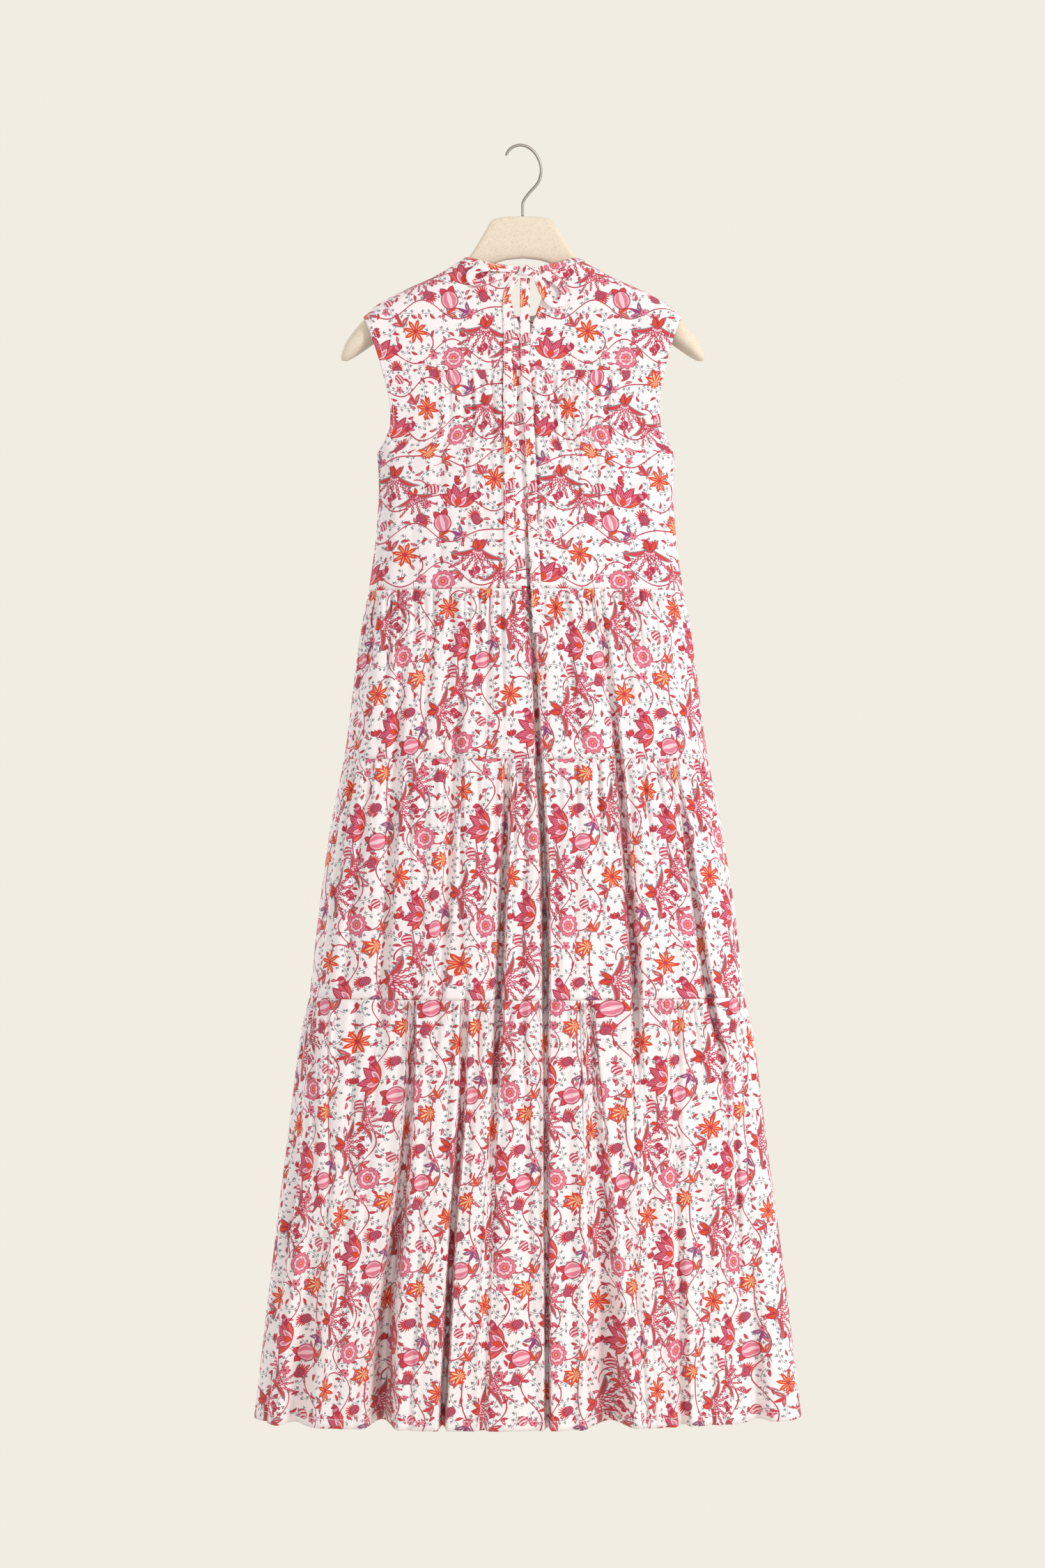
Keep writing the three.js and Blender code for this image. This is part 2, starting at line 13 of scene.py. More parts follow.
import bpy
import numpy as np
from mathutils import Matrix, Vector


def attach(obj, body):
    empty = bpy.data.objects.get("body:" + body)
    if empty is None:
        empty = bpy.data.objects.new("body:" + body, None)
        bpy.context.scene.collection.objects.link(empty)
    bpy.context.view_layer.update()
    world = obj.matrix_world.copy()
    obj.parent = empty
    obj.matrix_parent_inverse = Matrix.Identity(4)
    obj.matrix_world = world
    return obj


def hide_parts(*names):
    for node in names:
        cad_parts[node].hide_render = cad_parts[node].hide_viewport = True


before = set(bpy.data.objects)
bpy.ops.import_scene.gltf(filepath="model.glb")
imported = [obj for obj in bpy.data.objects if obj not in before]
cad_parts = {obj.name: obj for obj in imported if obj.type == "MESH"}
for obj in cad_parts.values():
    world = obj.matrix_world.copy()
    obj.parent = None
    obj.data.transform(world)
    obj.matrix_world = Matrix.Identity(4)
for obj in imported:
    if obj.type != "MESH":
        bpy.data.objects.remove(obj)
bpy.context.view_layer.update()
print("nodes in the frame:", len(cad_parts))

# %% [markdown]
# ## Tables of a pattern cutter
#
# A pattern cutter writes a garment as a few rows of millimetres. The same rows drive the frame's
# solids, so each sheet lies on its solid with no fitting. Straight lines between the rows would
# show as kinks in thin cloth, so a soft curve runs through them instead: a cubic whose slopes never
# overshoot a row.

# %% Reading tables
MM = 0.001
BACK, FRONT = -1, 1


def table(columns, rows):
    """Rows of millimetres as one array of metres under each column name."""
    return dict(zip(columns.split(), np.array(rows, float).T * MM))


def soft_read(rows, key, at, column):
    """Reads a column at a height or place, on a soft curve through the rows and level past the ends."""
    x, y = rows[key], rows[column]
    if x[0] > x[-1]:
        x, y = x[::-1], y[::-1]
    step = np.diff(x)
    rise = np.diff(y) / step
    slope = np.concatenate([rise[:1], np.zeros(len(x) - 2), rise[-1:]])
    both = rise[:-1] * rise[1:]
    steady = both > 0
    slope[1:-1][steady] = 2 * both[steady] / (rise[:-1] + rise[1:])[steady]
    at = np.clip(at, x[0], x[-1])
    i = np.clip(np.searchsorted(x, at, side="right") - 1, 0, len(step) - 1)
    t = (at - x[i]) / step[i]
    from_start = (1 + 2 * t) * (1 - t) ** 2 * y[i] + t * (1 - t) ** 2 * step[i] * slope[i]
    from_end = t * t * (3 - 2 * t) * y[i + 1] + t * t * (t - 1) * step[i] * slope[i + 1]
    return from_start + from_end


def soft_step(value, low, high):
    """0 below low, 1 above high, and a soft rise between."""
    t = np.clip((value - low) / (high - low), 0, 1)
    return t * t * (3 - 2 * t)


# %% Heights, neck and shoulders
NECK_POINT, SHOULDER_TIP = -127 * MM, -196 * MM
YOKE_SEAM, UNDERARM = -261 * MM, -352 * MM
SECOND_TIER, THIRD_TIER, FOURTH_TIER = -511 * MM, -703 * MM, -974 * MM
HEM = -1455 * MM
NECK, BAND_SEAM, BAND_FALL = 65 * MM, 73.4 * MM, 5.3 * MM
BACK_DIP, FRONT_DIP = 17.6 * MM, 63 * MM
SEAM_BACK_DIP, SEAM_FRONT_DIP = 22.6 * MM, 68 * MM
BACK_DIP_POWER = 1.4
SHOULDER_ROLL = 24 * MM
SLIT_MIDDLE = 3.5 * MM

sections = table("z half lean side back front peak", [
    [-127, 215, 0, 24, 1, 3, 0],
    [-196, 212, 0, 24, 4, 7, 0],
    [-261, 193, 1, 22, 15, 14, 0],
    [-352, 171, 4, 18, 26, 24, 0],
    [-392, 169, 4, 22, 28, 26, 0],
    [-444, 172, 4, 26, 30, 28, 0],
    [-511, 181, 4, 30, 32, 30, 0],
    [-551, 189, 4, 34, 32, 32, 0],
    [-703, 209, 4, 38, 34, 34, -5],
    [-772, 223, 4, 40, 35, 36, -10],
    [-880, 239, 5, 41, 38, 38, -15],
    [-974, 250, 5, 42, 40, 40, -20],
    [-1019, 260, 5, 42, 41, 42, -25],
    [-1136, 275, 5, 42, 43, 44, -30],
    [-1316, 298, 6, 42, 46, 46, -40],
    [-1455, 314, 6, 42, 48, 48, -45],
])
armhole = table("z x", [
    [-196, 182.5], [-212, 176], [-237, 167.5], [-261, 161], [-285, 155.5],
    [-303, 153.5], [-320, 154], [-332, 157.5], [-343, 164], [-352, 171],
])
shoulder = table("x z", [[65, -127], [97, -147], [145, -169.5], [168, -182.5], [182.5, -196]])
slit = table("z half", [[-150, 18], [-168, 20], [-187, 15], [-203, 9.5], [-217, 5.5], [-229, 0.15]])
print(f"dress: {NECK_POINT - HEM:.3f} m from neck point to hem")

# %% [markdown]
# ## The hanging tube
#
# Cloth on a hanger hangs as a flat tube: nearly flat at the back and front, with round sides, and a
# little more swell in the middle. At the top it rolls over the hanger's arms. One function turns
# a place on the cloth (how far along from the middle, how high, and how deep it is sunk by a fold)
# into a point, so every sheet, seam, tie and stitch uses the same surface.


# %% The tube's surface
def measures(z, *columns):
    """The tube's measures at a height, one for each column that is asked for."""
    return [soft_read(sections, "z", z, column) for column in columns]


def ridge(x):
    """Height of the shoulder line at a sideways place."""
    return soft_read(shoulder, "x", np.abs(x), "z")


def along_at(x, z):
    """Distance along the cloth from the middle to a sideways place: flat first, then round the side."""
    half, side = measures(z, "half", "side")
    past = np.abs(x) - (half - side)
    round_side = half - side + side * np.arcsin(np.clip(past / side, 0, 1))
    return np.where(past <= 0, x, np.sign(x) * round_side)


def reach_at(z):
    """Half of the cloth's reach, from side seam to side seam or from armhole to armhole."""
    z = np.asarray(z, float)
    half, side = measures(z, "half", "side")
    at_armhole = along_at(soft_read(armhole, "z", z, "x"), z)
    return np.where(z > UNDERARM, at_armhole, half - side + side * math.pi / 2)


def tube(face, along, z, sink=0.0):
    """Points on the hanging tube, sunk into the dress by a fold or gather."""
    along, z, sink = np.broadcast_arrays(along, z, sink)
    half, lean, side, peak = measures(z, "half", "lean", "side", "peak")
    swell = soft_read(sections, "z", z, "back" if face == BACK else "front")
    turn = np.maximum(0, np.abs(along) - (half - side)) / side
    x = np.where(turn > 0, np.sign(along) * (half - side + side * np.sin(turn)), along)
    rise = swell * np.maximum(0, 1 - ((x - peak) / half) ** 2) * np.cos(turn)
    depth = side * np.cos(turn) + rise
    left = np.clip(1 - (ridge(x) - z) / SHOULDER_ROLL, 0, 1)
    out = np.sqrt(1 - left * left)
    return np.stack([
        x + lean - np.sign(along) * sink * np.sin(turn),
        face * (depth - sink * np.cos(turn)) * out,
        z,
    ], axis=-1)


# %% [markdown]
# ## Folds and gathers
#
# A fold is a trough that falls through one or more tiers. Each is listed one by one: where its valley
# runs, how deep it goes and how wide it is. Gathers are many and uneven, so a few numbers with a
# seeded random spread make them: fine ones at the seam that die out soon, and wider ones that run
# further down, which is how gathered cotton behaves. A gather is a round ridge between two sharp
# valleys, and each valley has its own depth and length.

# %% Folds, listed one by one
FOLD = "z x deep half"
back_folds = [table(FOLD, rows) for rows in (
    [[-430, 5, 0, 5], [-511, 9, 12, 5], [-703, 18, 24, 6], [-850, 25, 32, 7],
     [-974, 26, 32, 7], [-1040, 26, 14, 5], [-1455, 28, 22, 5]],
    [[-700, -18, 0, 7], [-760, -19, 16, 7], [-928, -25, 28, 8], [-1000, -28, 26, 8],
     [-1156, -35, 10, 7], [-1300, -41, 5, 8], [-1455, -45, 8, 8]],
    [[-520, 84, 0, 6], [-600, 96, 10, 6], [-703, 108, 18, 7], [-863, 121, 26, 8],
     [-974, 128, 24, 8], [-1100, 130, 0, 8], [-1455, 148, 0, 8]],
    [[-540, -132, 0, 9], [-703, -144, 9, 10], [-880, -153, 12, 10], [-974, -160, 9, 10],
     [-1100, -178, 0, 10], [-1455, -213, 0, 9]],
    [[-530, -62, 0, 8], [-703, -76, 9, 9], [-860, -85, 12, 10], [-974, -94, 8, 9],
     [-1060, -100, 0, 9], [-1455, -122, 0, 7]],
    [[-720, 172, 0, 6], [-790, 186, 14, 6], [-880, 198, 20, 7], [-974, 212, 20, 8],
     [-1060, 228, 8, 8], [-1180, 232, 0, 8]],
    [[-930, -123, 0, 6], [-974, -124, 5, 6], [-1053, -126, 14, 7], [-1196, -137, 28, 11],
     [-1357, -156, 48, 18], [-1455, -160, 58, 22]],
    [[-930, -63, 0, 5], [-974, -64, 6, 5], [-1094, -68, 16, 6], [-1215, -77, 24, 6],
     [-1455, -90, 32, 6]],
    [[-940, 71, 0, 9], [-974, 72, 3, 9], [-1200, 86, 14, 18], [-1455, 98, 50, 33]],
    [[-1180, -228, 0, 14], [-1300, -242, 12, 18], [-1455, -258, 28, 22]],
    [[-1100, 168, 0, 8], [-1250, 175, 8, 9], [-1455, 181, 15, 10]],
    [[-974, 243, 0, 8], [-1200, 252, 0, 10], [-1455, 268, 22, 18]],
)]
front_folds = [table(FOLD, rows) for rows in (
    [[-560, -20, 0, 8], [-703, -24, 14, 8], [-974, -32, 24, 9], [-1455, -44, 30, 12]],
    [[-600, 66, 0, 8], [-703, 72, 10, 8], [-974, 92, 20, 9], [-1100, 98, 16, 9],
     [-1455, 116, 36, 16]],
    [[-620, -108, 0, 8], [-703, -114, 8, 8], [-974, -134, 18, 9], [-1455, -152, 40, 18]],
    [[-930, 27, 0, 8], [-974, 28, 4, 8], [-1200, 36, 16, 9], [-1455, 42, 24, 10]],
    [[-930, 164, 0, 9], [-974, 166, 4, 9], [-1200, 184, 14, 10], [-1455, 206, 30, 18]],
    [[-1050, -200, 0, 9], [-1250, -222, 12, 10], [-1455, -240, 26, 16]],
)]
print("folds placed by hand:", len(back_folds), "behind,", len(front_folds), "in front")


# %% Where folds run, and how deep
FOLD_LEVELS, LEAST_FOLD = 40, 0.1 * MM


def folds_between(face, top, foot):
    """Folds that sink in anywhere between two heights, from left to right."""
    rows = back_folds if face == BACK else front_folds
    levels = np.linspace(top, foot, FOLD_LEVELS)
    here = [fold for fold in rows if np.max(soft_read(fold, "z", levels, "deep")) > LEAST_FOLD]
    return sorted(here, key=lambda fold: float(soft_read(fold, "z", (top + foot) / 2, "x")))


def fold_run(fold, z):
    """Place of a fold's valley along the cloth."""
    return along_at(soft_read(fold, "z", z, "x") - soft_read(sections, "z", z, "lean"), z)


def fold_sink(folds, along, z):
    """Sink of all the folds, and how near each place is to a valley, 0 to 1."""
    shape = np.broadcast(along, z).shape
    sink, near = np.zeros(shape), np.zeros(shape)
    for fold in folds:
        share = np.clip((along - fold_run(fold, z)) / soft_read(fold, "z", z, "half"), -1, 1)
        valley = (1 + np.cos(math.pi * share)) / 2
        sink += valley * np.maximum(0, soft_read(fold, "z", z, "deep"))
        near = np.maximum(near, valley)
    return sink, near


# %% Columns that follow the folds
FOLD_LIPS = (-1, 0, 1)


def fold_columns(face, folds, z, count):
    """Places along the cloth for each row and column. Columns run down the folds, and they stand
    closer together where a fold takes cloth in, so that a deep fold has as many as it needs."""
    reach = reach_at(z)
    anchors, spans = [-reach], [0.0]
    for fold in folds:
        run, half = fold_run(fold, z), soft_read(fold, "z", z, "half")
        taken = float(np.hypot(np.mean(half), np.max(soft_read(fold, "z", z, "deep"))))
        for lip in FOLD_LIPS:
            anchors.append(run + lip * half)
            flat = float(np.mean(anchors[-1] - anchors[-2]))
            spans.append(max(flat, MM) if lip == FOLD_LIPS[0] else taken)
    anchors.append(reach)
    spans.append(float(np.mean(anchors[-1] - anchors[-2])))
    places = np.maximum.accumulate(np.array(anchors), axis=0)
    stations = np.cumsum(spans)
    wanted = np.linspace(0, stations[-1], count)
    along = np.array([np.interp(wanted, stations, row) for row in places.T])
    return wanted, (along if face == BACK else along[:, ::-1])


# %% Uneven gathers
PITCH_SPREAD = 0.35
DEPTH_RANGE, LENGTH_RANGE, DRIFT_RANGE = (0.35, 1.15), (0.45, 1.3), (-0.05, 0.05)
RIDGE_ROUNDNESS = 1.25


def gathers(rng, wanted, down, pitch, depth, rise, length):
    """Sink of uneven gathers below a seam: each valley has its own pitch, depth and length."""
    count = int(wanted[-1] / pitch) + 4
    valleys = np.cumsum(pitch * (1 + PITCH_SPREAD * rng.uniform(-1, 1, count))) - 2 * pitch
    deep = depth * rng.uniform(*DEPTH_RANGE, count)
    long = length * rng.uniform(*LENGTH_RANGE, count)
    drift = rng.uniform(*DRIFT_RANGE, count)
    fade = soft_step(down[:, None], 0, 1.6 * rise) * (1 - soft_step(down[:, None], 0.25 * long, long))
    sink = np.zeros((len(down), len(wanted)))
    for row, below in enumerate(down):
        here = valleys + drift * below
        here.sort()
        i = np.clip(np.searchsorted(here, wanted, side="right") - 1, 0, count - 2)
        share = np.clip((wanted - here[i]) / (here[i + 1] - here[i]), 0, 1)
        blend = share * share * (3 - 2 * share)
        valley_depth = (1 - blend) * (deep * fade[row])[i] + blend * (deep * fade[row])[i + 1]
        sink[row] = valley_depth * (1 - np.sin(math.pi * share)) ** RIDGE_ROUNDNESS
    return sink


# %% [markdown]
# ## A flower print as arithmetic
#
# The cotton is printed in the old chintz manner: crimson, orange and pink flowers, plumes of beaded
# tassels, small leaves on thin red stems, and fine grey sprigs on a ground that is nearly white. An
# image would be one way to bring a print to cloth. Here it is drawn as a shader node group instead,
# so it stays sharp at any distance and its layout is this lesson's own. Each motif is a distance in
# millimetres from its outline, worked out from its place on the cloth, and ink is laid where that
# distance is negative. The motifs repeat in a half drop, as printed cotton does.

# %% Writing a node group as arithmetic
EDGE_WIDTH = 0.4


class Field:
    """A number that changes over the surface: a socket and the plan that it is drawn on."""

    def __init__(self, plan, socket):
        self.plan = plan
        self.socket = socket

    def __add__(self, other):
        return self.plan.math("ADD", self, other)

    def __sub__(self, other):
        return self.plan.math("SUBTRACT", self, other)

    def __mul__(self, other):
        return self.plan.math("MULTIPLY", self, other)

    def __abs__(self):
        return self.plan.math("ABSOLUTE", self)

    def times_plus(self, factor, extra):
        """This field times a factor, with something added."""
        return self.plan.math("MULTIPLY_ADD", self, factor, extra)


class Plan:
    """A shader node group with named sockets, written as arithmetic."""

    def __init__(self, name, inputs, outputs):
        self.tree = bpy.data.node_groups.new(name, "ShaderNodeTree")
        for label, kind in inputs:
            self.tree.interface.new_socket(label, in_out="INPUT", socket_type=kind)
        for label, kind in outputs:
            self.tree.interface.new_socket(label, in_out="OUTPUT", socket_type=kind)
        self.start = self.tree.nodes.new("NodeGroupInput")
        self.end = self.tree.nodes.new("NodeGroupOutput")

    def feed(self, socket, value):
        """Sets a socket to a constant, or links it to a field."""
        if isinstance(value, Field):
            self.tree.links.new(value.socket, socket)
        else:
            socket.default_value = value

    def given(self, label):
        """One of the group's inputs."""
        return Field(self, self.start.outputs[label])

    def give(self, label, value):
        """Feeds one of the group's outputs."""
        self.feed(self.end.inputs[label], value)

    def node(self, kind, values=(), output=0, **settings):
        """One output of a new node, whose inputs are fed by name or number."""
        made_node = self.tree.nodes.new(kind)
        for key, value in settings.items():
            setattr(made_node, key, value)
        for key, value in dict(values).items():
            self.feed(made_node.inputs[key], value)
        return Field(self, made_node.outputs[output])

    def math(self, operation, *values, clamp=False):
        """One step of arithmetic."""
        return self.node("ShaderNodeMath", enumerate(values), operation=operation, use_clamp=clamp)

    def split(self, place):
        """The X and Y of a place."""
        parts = self.node("ShaderNodeSeparateXYZ", {0: place}).socket.node
        return Field(self, parts.outputs[0]), Field(self, parts.outputs[1])

    def paint(self, under, mask, ink):
        """Lays an ink over a colour where the mask is 1."""
        return self.node("ShaderNodeMix", {0: mask, 6: under, 7: ink}, output=2, data_type="RGBA")

    def fill(self, under, distance, ink):
        """Lays an ink inside an outline, from a distance in millimetres that is negative there. The
        mask runs past 0 and 1, and the Mix node clamps it."""
        return self.paint(under, distance.times_plus(-1 / EDGE_WIDTH, 0.5), ink)


def ink(code):
    """A colour as a dyer writes it, turned into scene values."""
    parts = [int(code[i:i + 2], 16) / 255 for i in (1, 3, 5)]
    return tuple(c / 12.92 if c <= 0.04045 else ((c + 0.055) / 1.055) ** 2.4 for c in parts) + (1.0,)


# %% Inks and repeat
GROUND = ink("#fcf3f2")
CRIMSON, DEEP_RED, RED = ink("#be3a54"), ink("#9c2c48"), ink("#d2434a")
ORANGE, GOLD, ROSE = ink("#e04c31"), ink("#f6cf9e"), ink("#e47f95")
BLUSH, PLUM, GREY, SLATE = ink("#f8cfd5"), ink("#9a4478"), ink("#8a8c92"), ink("#54616e")
REVERSE = ink("#f6e4e3")
REPEAT_WIDTH, REPEAT_ROW = 196.0, 86.0


def repeat_cells(plan):
    """Places within the cells of the half-drop repeat, for four ways of laying the cells: a motif
    uses the one in which it stands nearest to the middle, so that no cell's edge cuts it."""
    cells = {}
    for y0 in (0.0, REPEAT_ROW / 2):
        number = plan.math("FLOOR", plan.y.times_plus(1 / REPEAT_ROW, 0.5 - y0 / REPEAT_ROW))
        down = number.times_plus(-REPEAT_ROW, plan.y) - y0
        shifted = number.times_plus(-REPEAT_WIDTH / 2, plan.x)
        for x0 in (0.0, REPEAT_WIDTH / 2):
            cells[x0, y0] = plan.math("WRAP", shifted - x0, REPEAT_WIDTH / 2, -REPEAT_WIDTH / 2), down
    return cells


def spot(plan, at, turn=0.0, size=1.0, twice=False):
    """Local place, in millimetres, in the nearest copy of a motif. Twice gives it two copies a row."""
    x, y = at
    if y < -REPEAT_ROW / 4:
        x, y = x + REPEAT_WIDTH / 2, y + REPEAT_ROW
    y0 = REPEAT_ROW / 2 if y > REPEAT_ROW / 4 else 0.0
    x = (x + REPEAT_WIDTH / 2) % REPEAT_WIDTH - REPEAT_WIDTH / 2
    x0 = REPEAT_WIDTH / 2 if abs(x) > REPEAT_WIDTH / 4 else 0.0
    aside, down = plan.cells[x0, y0]
    dx, dy = (x - x0 + REPEAT_WIDTH / 2) % REPEAT_WIDTH - REPEAT_WIDTH / 2, y - y0
    if twice:
        aside = plan.math("WRAP", aside - dx, REPEAT_WIDTH / 4, -REPEAT_WIDTH / 4)
        dx = 0.0
    c, s = math.cos(math.radians(turn)) / size, math.sin(math.radians(turn)) / size
    across = aside.times_plus(c, down.times_plus(s, -dx * c - dy * s))
    return across, down.times_plus(c, aside.times_plus(-s, dx * s - dy * c))


def turned(x, y, degrees):
    """A local place seen from an axis that is turned by some degrees."""
    c, s = math.cos(math.radians(degrees)), math.sin(math.radians(degrees))
    return x.times_plus(c, y * s), y.times_plus(c, x * -s)


def leaf(x, y, length, width, bend=0.0):
    """Distance from a pointed leaf that lies along +X from its root."""
    body = x * (x * -1.0 + length)
    middle = abs(body.times_plus(-4 * bend / length ** 2, y)) if bend else abs(y)
    return body.times_plus(-2 * width / length ** 2, middle)


def polar(plan, x, y):
    """Distance from the middle and angle about it."""
    r = plan.math("SQRT", plan.math("MULTIPLY_ADD", x, x, y * y))
    return r, plan.math("ARCTAN2", y, x)


def petal_share(plan, angle, count, phase=0.0):
    """0 along the middle of each petal and 1 between two petals."""
    part = plan.math("FRACT", angle.times_plus(count / (2 * math.pi), phase))
    return abs(part.times_plus(2.0, -1.0))


# %% Flowers
def rosette(plan, cloth, at, turn, size=1.0):
    """A round blossom with three rings of scalloped petals and an orange heart."""
    r, angle = polar(plan, *spot(plan, at, turn, size))
    for radius, count, phase, inner in ((14.5, 11, 0.0, ROSE), (10.4, 9, 0.3, BLUSH), (6.6, 7, 0.1, ROSE)):
        share = petal_share(plan, angle, count, phase)
        rim = r + (share * share).times_plus(radius * 0.16, -radius)
        cloth = plan.fill(cloth, rim, CRIMSON)
        cloth = plan.fill(cloth, rim + 0.9, inner)
    cloth = plan.fill(cloth, r - 2.7, ORANGE)
    return plan.fill(cloth, r - 1.1, GOLD)


def lotus(plan, cloth, at, turn, size=1.0):
    """A bud of overlapping pointed petals, seen from the side, growing along +Y."""
    x, y = spot(plan, at, turn, size)
    beside = abs(x)
    for degrees, length, width, outer, inner in (
            (28, 27, 11, DEEP_RED, ORANGE), (50, 31, 12, DEEP_RED, RED), (68, 34, 13, DEEP_RED, CRIMSON)):
        out, aside = turned(beside, y, degrees)
        petal = leaf(out, aside, length, width, 1.5)
        cloth = plan.fill(cloth, petal, outer)
        cloth = plan.fill(cloth, petal + 0.8, inner)
        veins = plan.math("SINE", aside * 2.7) * -1.0 + 0.25
        cloth = plan.fill(cloth, plan.math("MAXIMUM", veins, petal + 2.2), ROSE)
    low = leaf(*turned(beside, y, 60), 21, 9.5, -1.0)
    cloth = plan.fill(cloth, low, DEEP_RED)
    cloth = plan.fill(cloth, low + 0.8, BLUSH)
    cloth = plan.fill(cloth, low + 2.6, ROSE)
    cup = leaf(*turned(x, y, 90), 15, 9)
    cloth = plan.fill(cloth, cup, CRIMSON)
    return plan.fill(cloth, cup + 1.0, ORANGE)


def star_flower(plan, cloth, at, turn, size=1.0):
    """A flower of pointed petals with a pale vein in each."""
    r, angle = polar(plan, *spot(plan, at, turn, size))
    share = petal_share(plan, angle, 8)
    pointed = plan.math("POWER", share * -1.0 + 1.0, 0.7)
    rim = pointed.times_plus(-12.0, r) - 5.5
    cloth = plan.fill(cloth, rim, ORANGE)
    pale = plan.math("MAXIMUM", abs(share * r).times_plus(1.0, -0.9), abs(r - 8.0) - 4.0)
    cloth = plan.fill(cloth, pale, GOLD)
    return plan.fill(cloth, r - 2.4, CRIMSON)


def flame_lily(plan, cloth, at, turn, size=1.0):
    """A lily that opens upwards in a fan of curled orange petals with golden throats."""
    x, y = spot(plan, at, turn, size)
    r, angle = polar(plan, x, y)
    share = petal_share(plan, angle, 9, 0.25)
    fan = plan.math("MINIMUM", y.times_plus(0.55, 9.0), 17.0)
    rim = r - fan * share.times_plus(-0.42, 1.0)
    cloth = plan.fill(cloth, rim, ORANGE)
    throat = plan.math("MAXIMUM", rim + 3.4, share.times_plus(2.0, -0.9) * r.times_plus(0.2, 0.6))
    return plan.fill(cloth, throat, GOLD)


def striped_bloom(plan, cloth, at, turn, size=1.0):
    """A round bloom with pale and rose bands from foot to tip, under a crown of three points."""
    x, y = spot(plan, at, turn, size)
    crown = leaf(*turned(abs(x), y - 3.0, 58), 13, 8)
    cloth = plan.fill(cloth, crown, DEEP_RED)
    cloth = plan.fill(cloth, crown + 0.9, RED)
    r, _ = polar(plan, x, y * 0.9)
    cloth = plan.fill(cloth, r - 9.0, DEEP_RED)
    cloth = plan.fill(cloth, r - 8.2, ROSE)
    bands = plan.math("SINE", abs(x) * (y * y).times_plus(0.012, 0.85) + 0.9)
    band = plan.math("MAXIMUM", bands.times_plus(-1.4, 0.5), r - 7.4)
    return plan.fill(cloth, band, BLUSH)


def thistle(plan, cloth, at, turn, size=1.0):
    """A scaly head with a tuft of hair along +Y."""
    x, y = spot(plan, at, turn, size)
    r, angle = polar(plan, x, y)
    share = petal_share(plan, angle, 22)
    hair = r - plan.math("MINIMUM", y.times_plus(0.6, 6.5), 12.5) * share.times_plus(-0.35, 1.0)
    cloth = plan.fill(cloth, hair, RED)
    body, _ = polar(plan, x * 1.25, y + 1.5)
    cloth = plan.fill(cloth, body - 6.6, DEEP_RED)
    scales = plan.math("SINE", (x + y) * 1.9) * plan.math("SINE", (x - y) * 1.9)
    pale = plan.math("MAXIMUM", body - 5.8, scales.times_plus(-1.0, 0.25))
    return plan.fill(cloth, pale, ROSE)


# %% Plumes, berries and leaves
def plume(plan, cloth, at, turn, size=1.0):
    """A hanging plume: beaded strands that fan out below a toothed cup, between two long leaves."""
    x, y = spot(plan, at, turn, size)
    swept = leaf(*turned(abs(x), y, -18), 34, 6.0, -5.0)
    cloth = plan.fill(cloth, swept - 0.4, GREY)
    cloth = plan.fill(cloth, swept + 0.9, RED)
    r, angle = polar(plan, y * -1.0, x)
    bent = angle.times_plus(1.0, angle * r * -0.006)
    spacing = 0.30
    strand = bent * (1 / spacing)
    number = plan.math("FLOOR", strand + 0.5)
    aside = abs(strand - number) * r * spacing
    bead = abs(plan.math("SINE", r * 0.62)) * r.times_plus(-0.018, 1.35)
    long = plan.math("MULTIPLY_ADD", plan.math("FLOORED_MODULO", number, 2.0), -9.0, 42.0)
    reach = plan.math("MAXIMUM", r - long, r * -1.0 + 4.0)
    fan = plan.math("MAXIMUM", reach, abs(number) * 6.0 - 15.5)
    edge = plan.math("MAXIMUM", aside - bead.times_plus(1.15, 0.75), fan)
    cloth = plan.fill(cloth, edge, CRIMSON)
    shine = plan.math("MAXIMUM", aside - bead.times_plus(1.5, -0.8), fan + 2.0)
    cloth = plan.fill(cloth, shine, BLUSH)
    cup = leaf(*turned(abs(x), y + 4.0, 70), 14, 6.5, -1.6)
    cloth = plan.fill(cloth, cup, DEEP_RED)
    return plan.fill(cloth, cup + 0.9, ORANGE)


def berry(plan, cloth, at, turn, size=1.0):
    """A round berry with curved stripes."""
    x, y = spot(plan, at, turn, size)
    r, _ = polar(plan, x, y)
    cloth = plan.fill(cloth, r - 5.6, CRIMSON)
    stripe = plan.math("SINE", x.times_plus(1.75, y * y * 0.05))
    return plan.fill(cloth, plan.math("MAXIMUM", stripe, r - 5.0), BLUSH)


def small_flower(plan, cloth, at, turn, size=1.0):
    """A little flower with five round petals."""
    r, angle = polar(plan, *spot(plan, at, turn, size, twice=True))
    share = petal_share(plan, angle, 5)
    rim = r + (share * share).times_plus(2.6, -5.6)
    cloth = plan.fill(cloth, rim, CRIMSON)
    cloth = plan.fill(cloth, rim + 0.8, ROSE)
    return plan.fill(cloth, r - 1.3, DEEP_RED)


def tulip(plan, cloth, at, turn, size=1.0, inner=ROSE):
    """A small cup of three petals that opens along +Y."""
    x, y = spot(plan, at, turn, size, twice=True)
    side = leaf(*turned(abs(x), y, 62), 10.5, 6.0, -1.4)
    cloth = plan.fill(cloth, side, CRIMSON)
    middle = leaf(*turned(x, y, 90), 9.5, 5.2)
    cloth = plan.fill(cloth, middle, DEEP_RED)
    return plan.fill(cloth, middle + 0.8, inner)


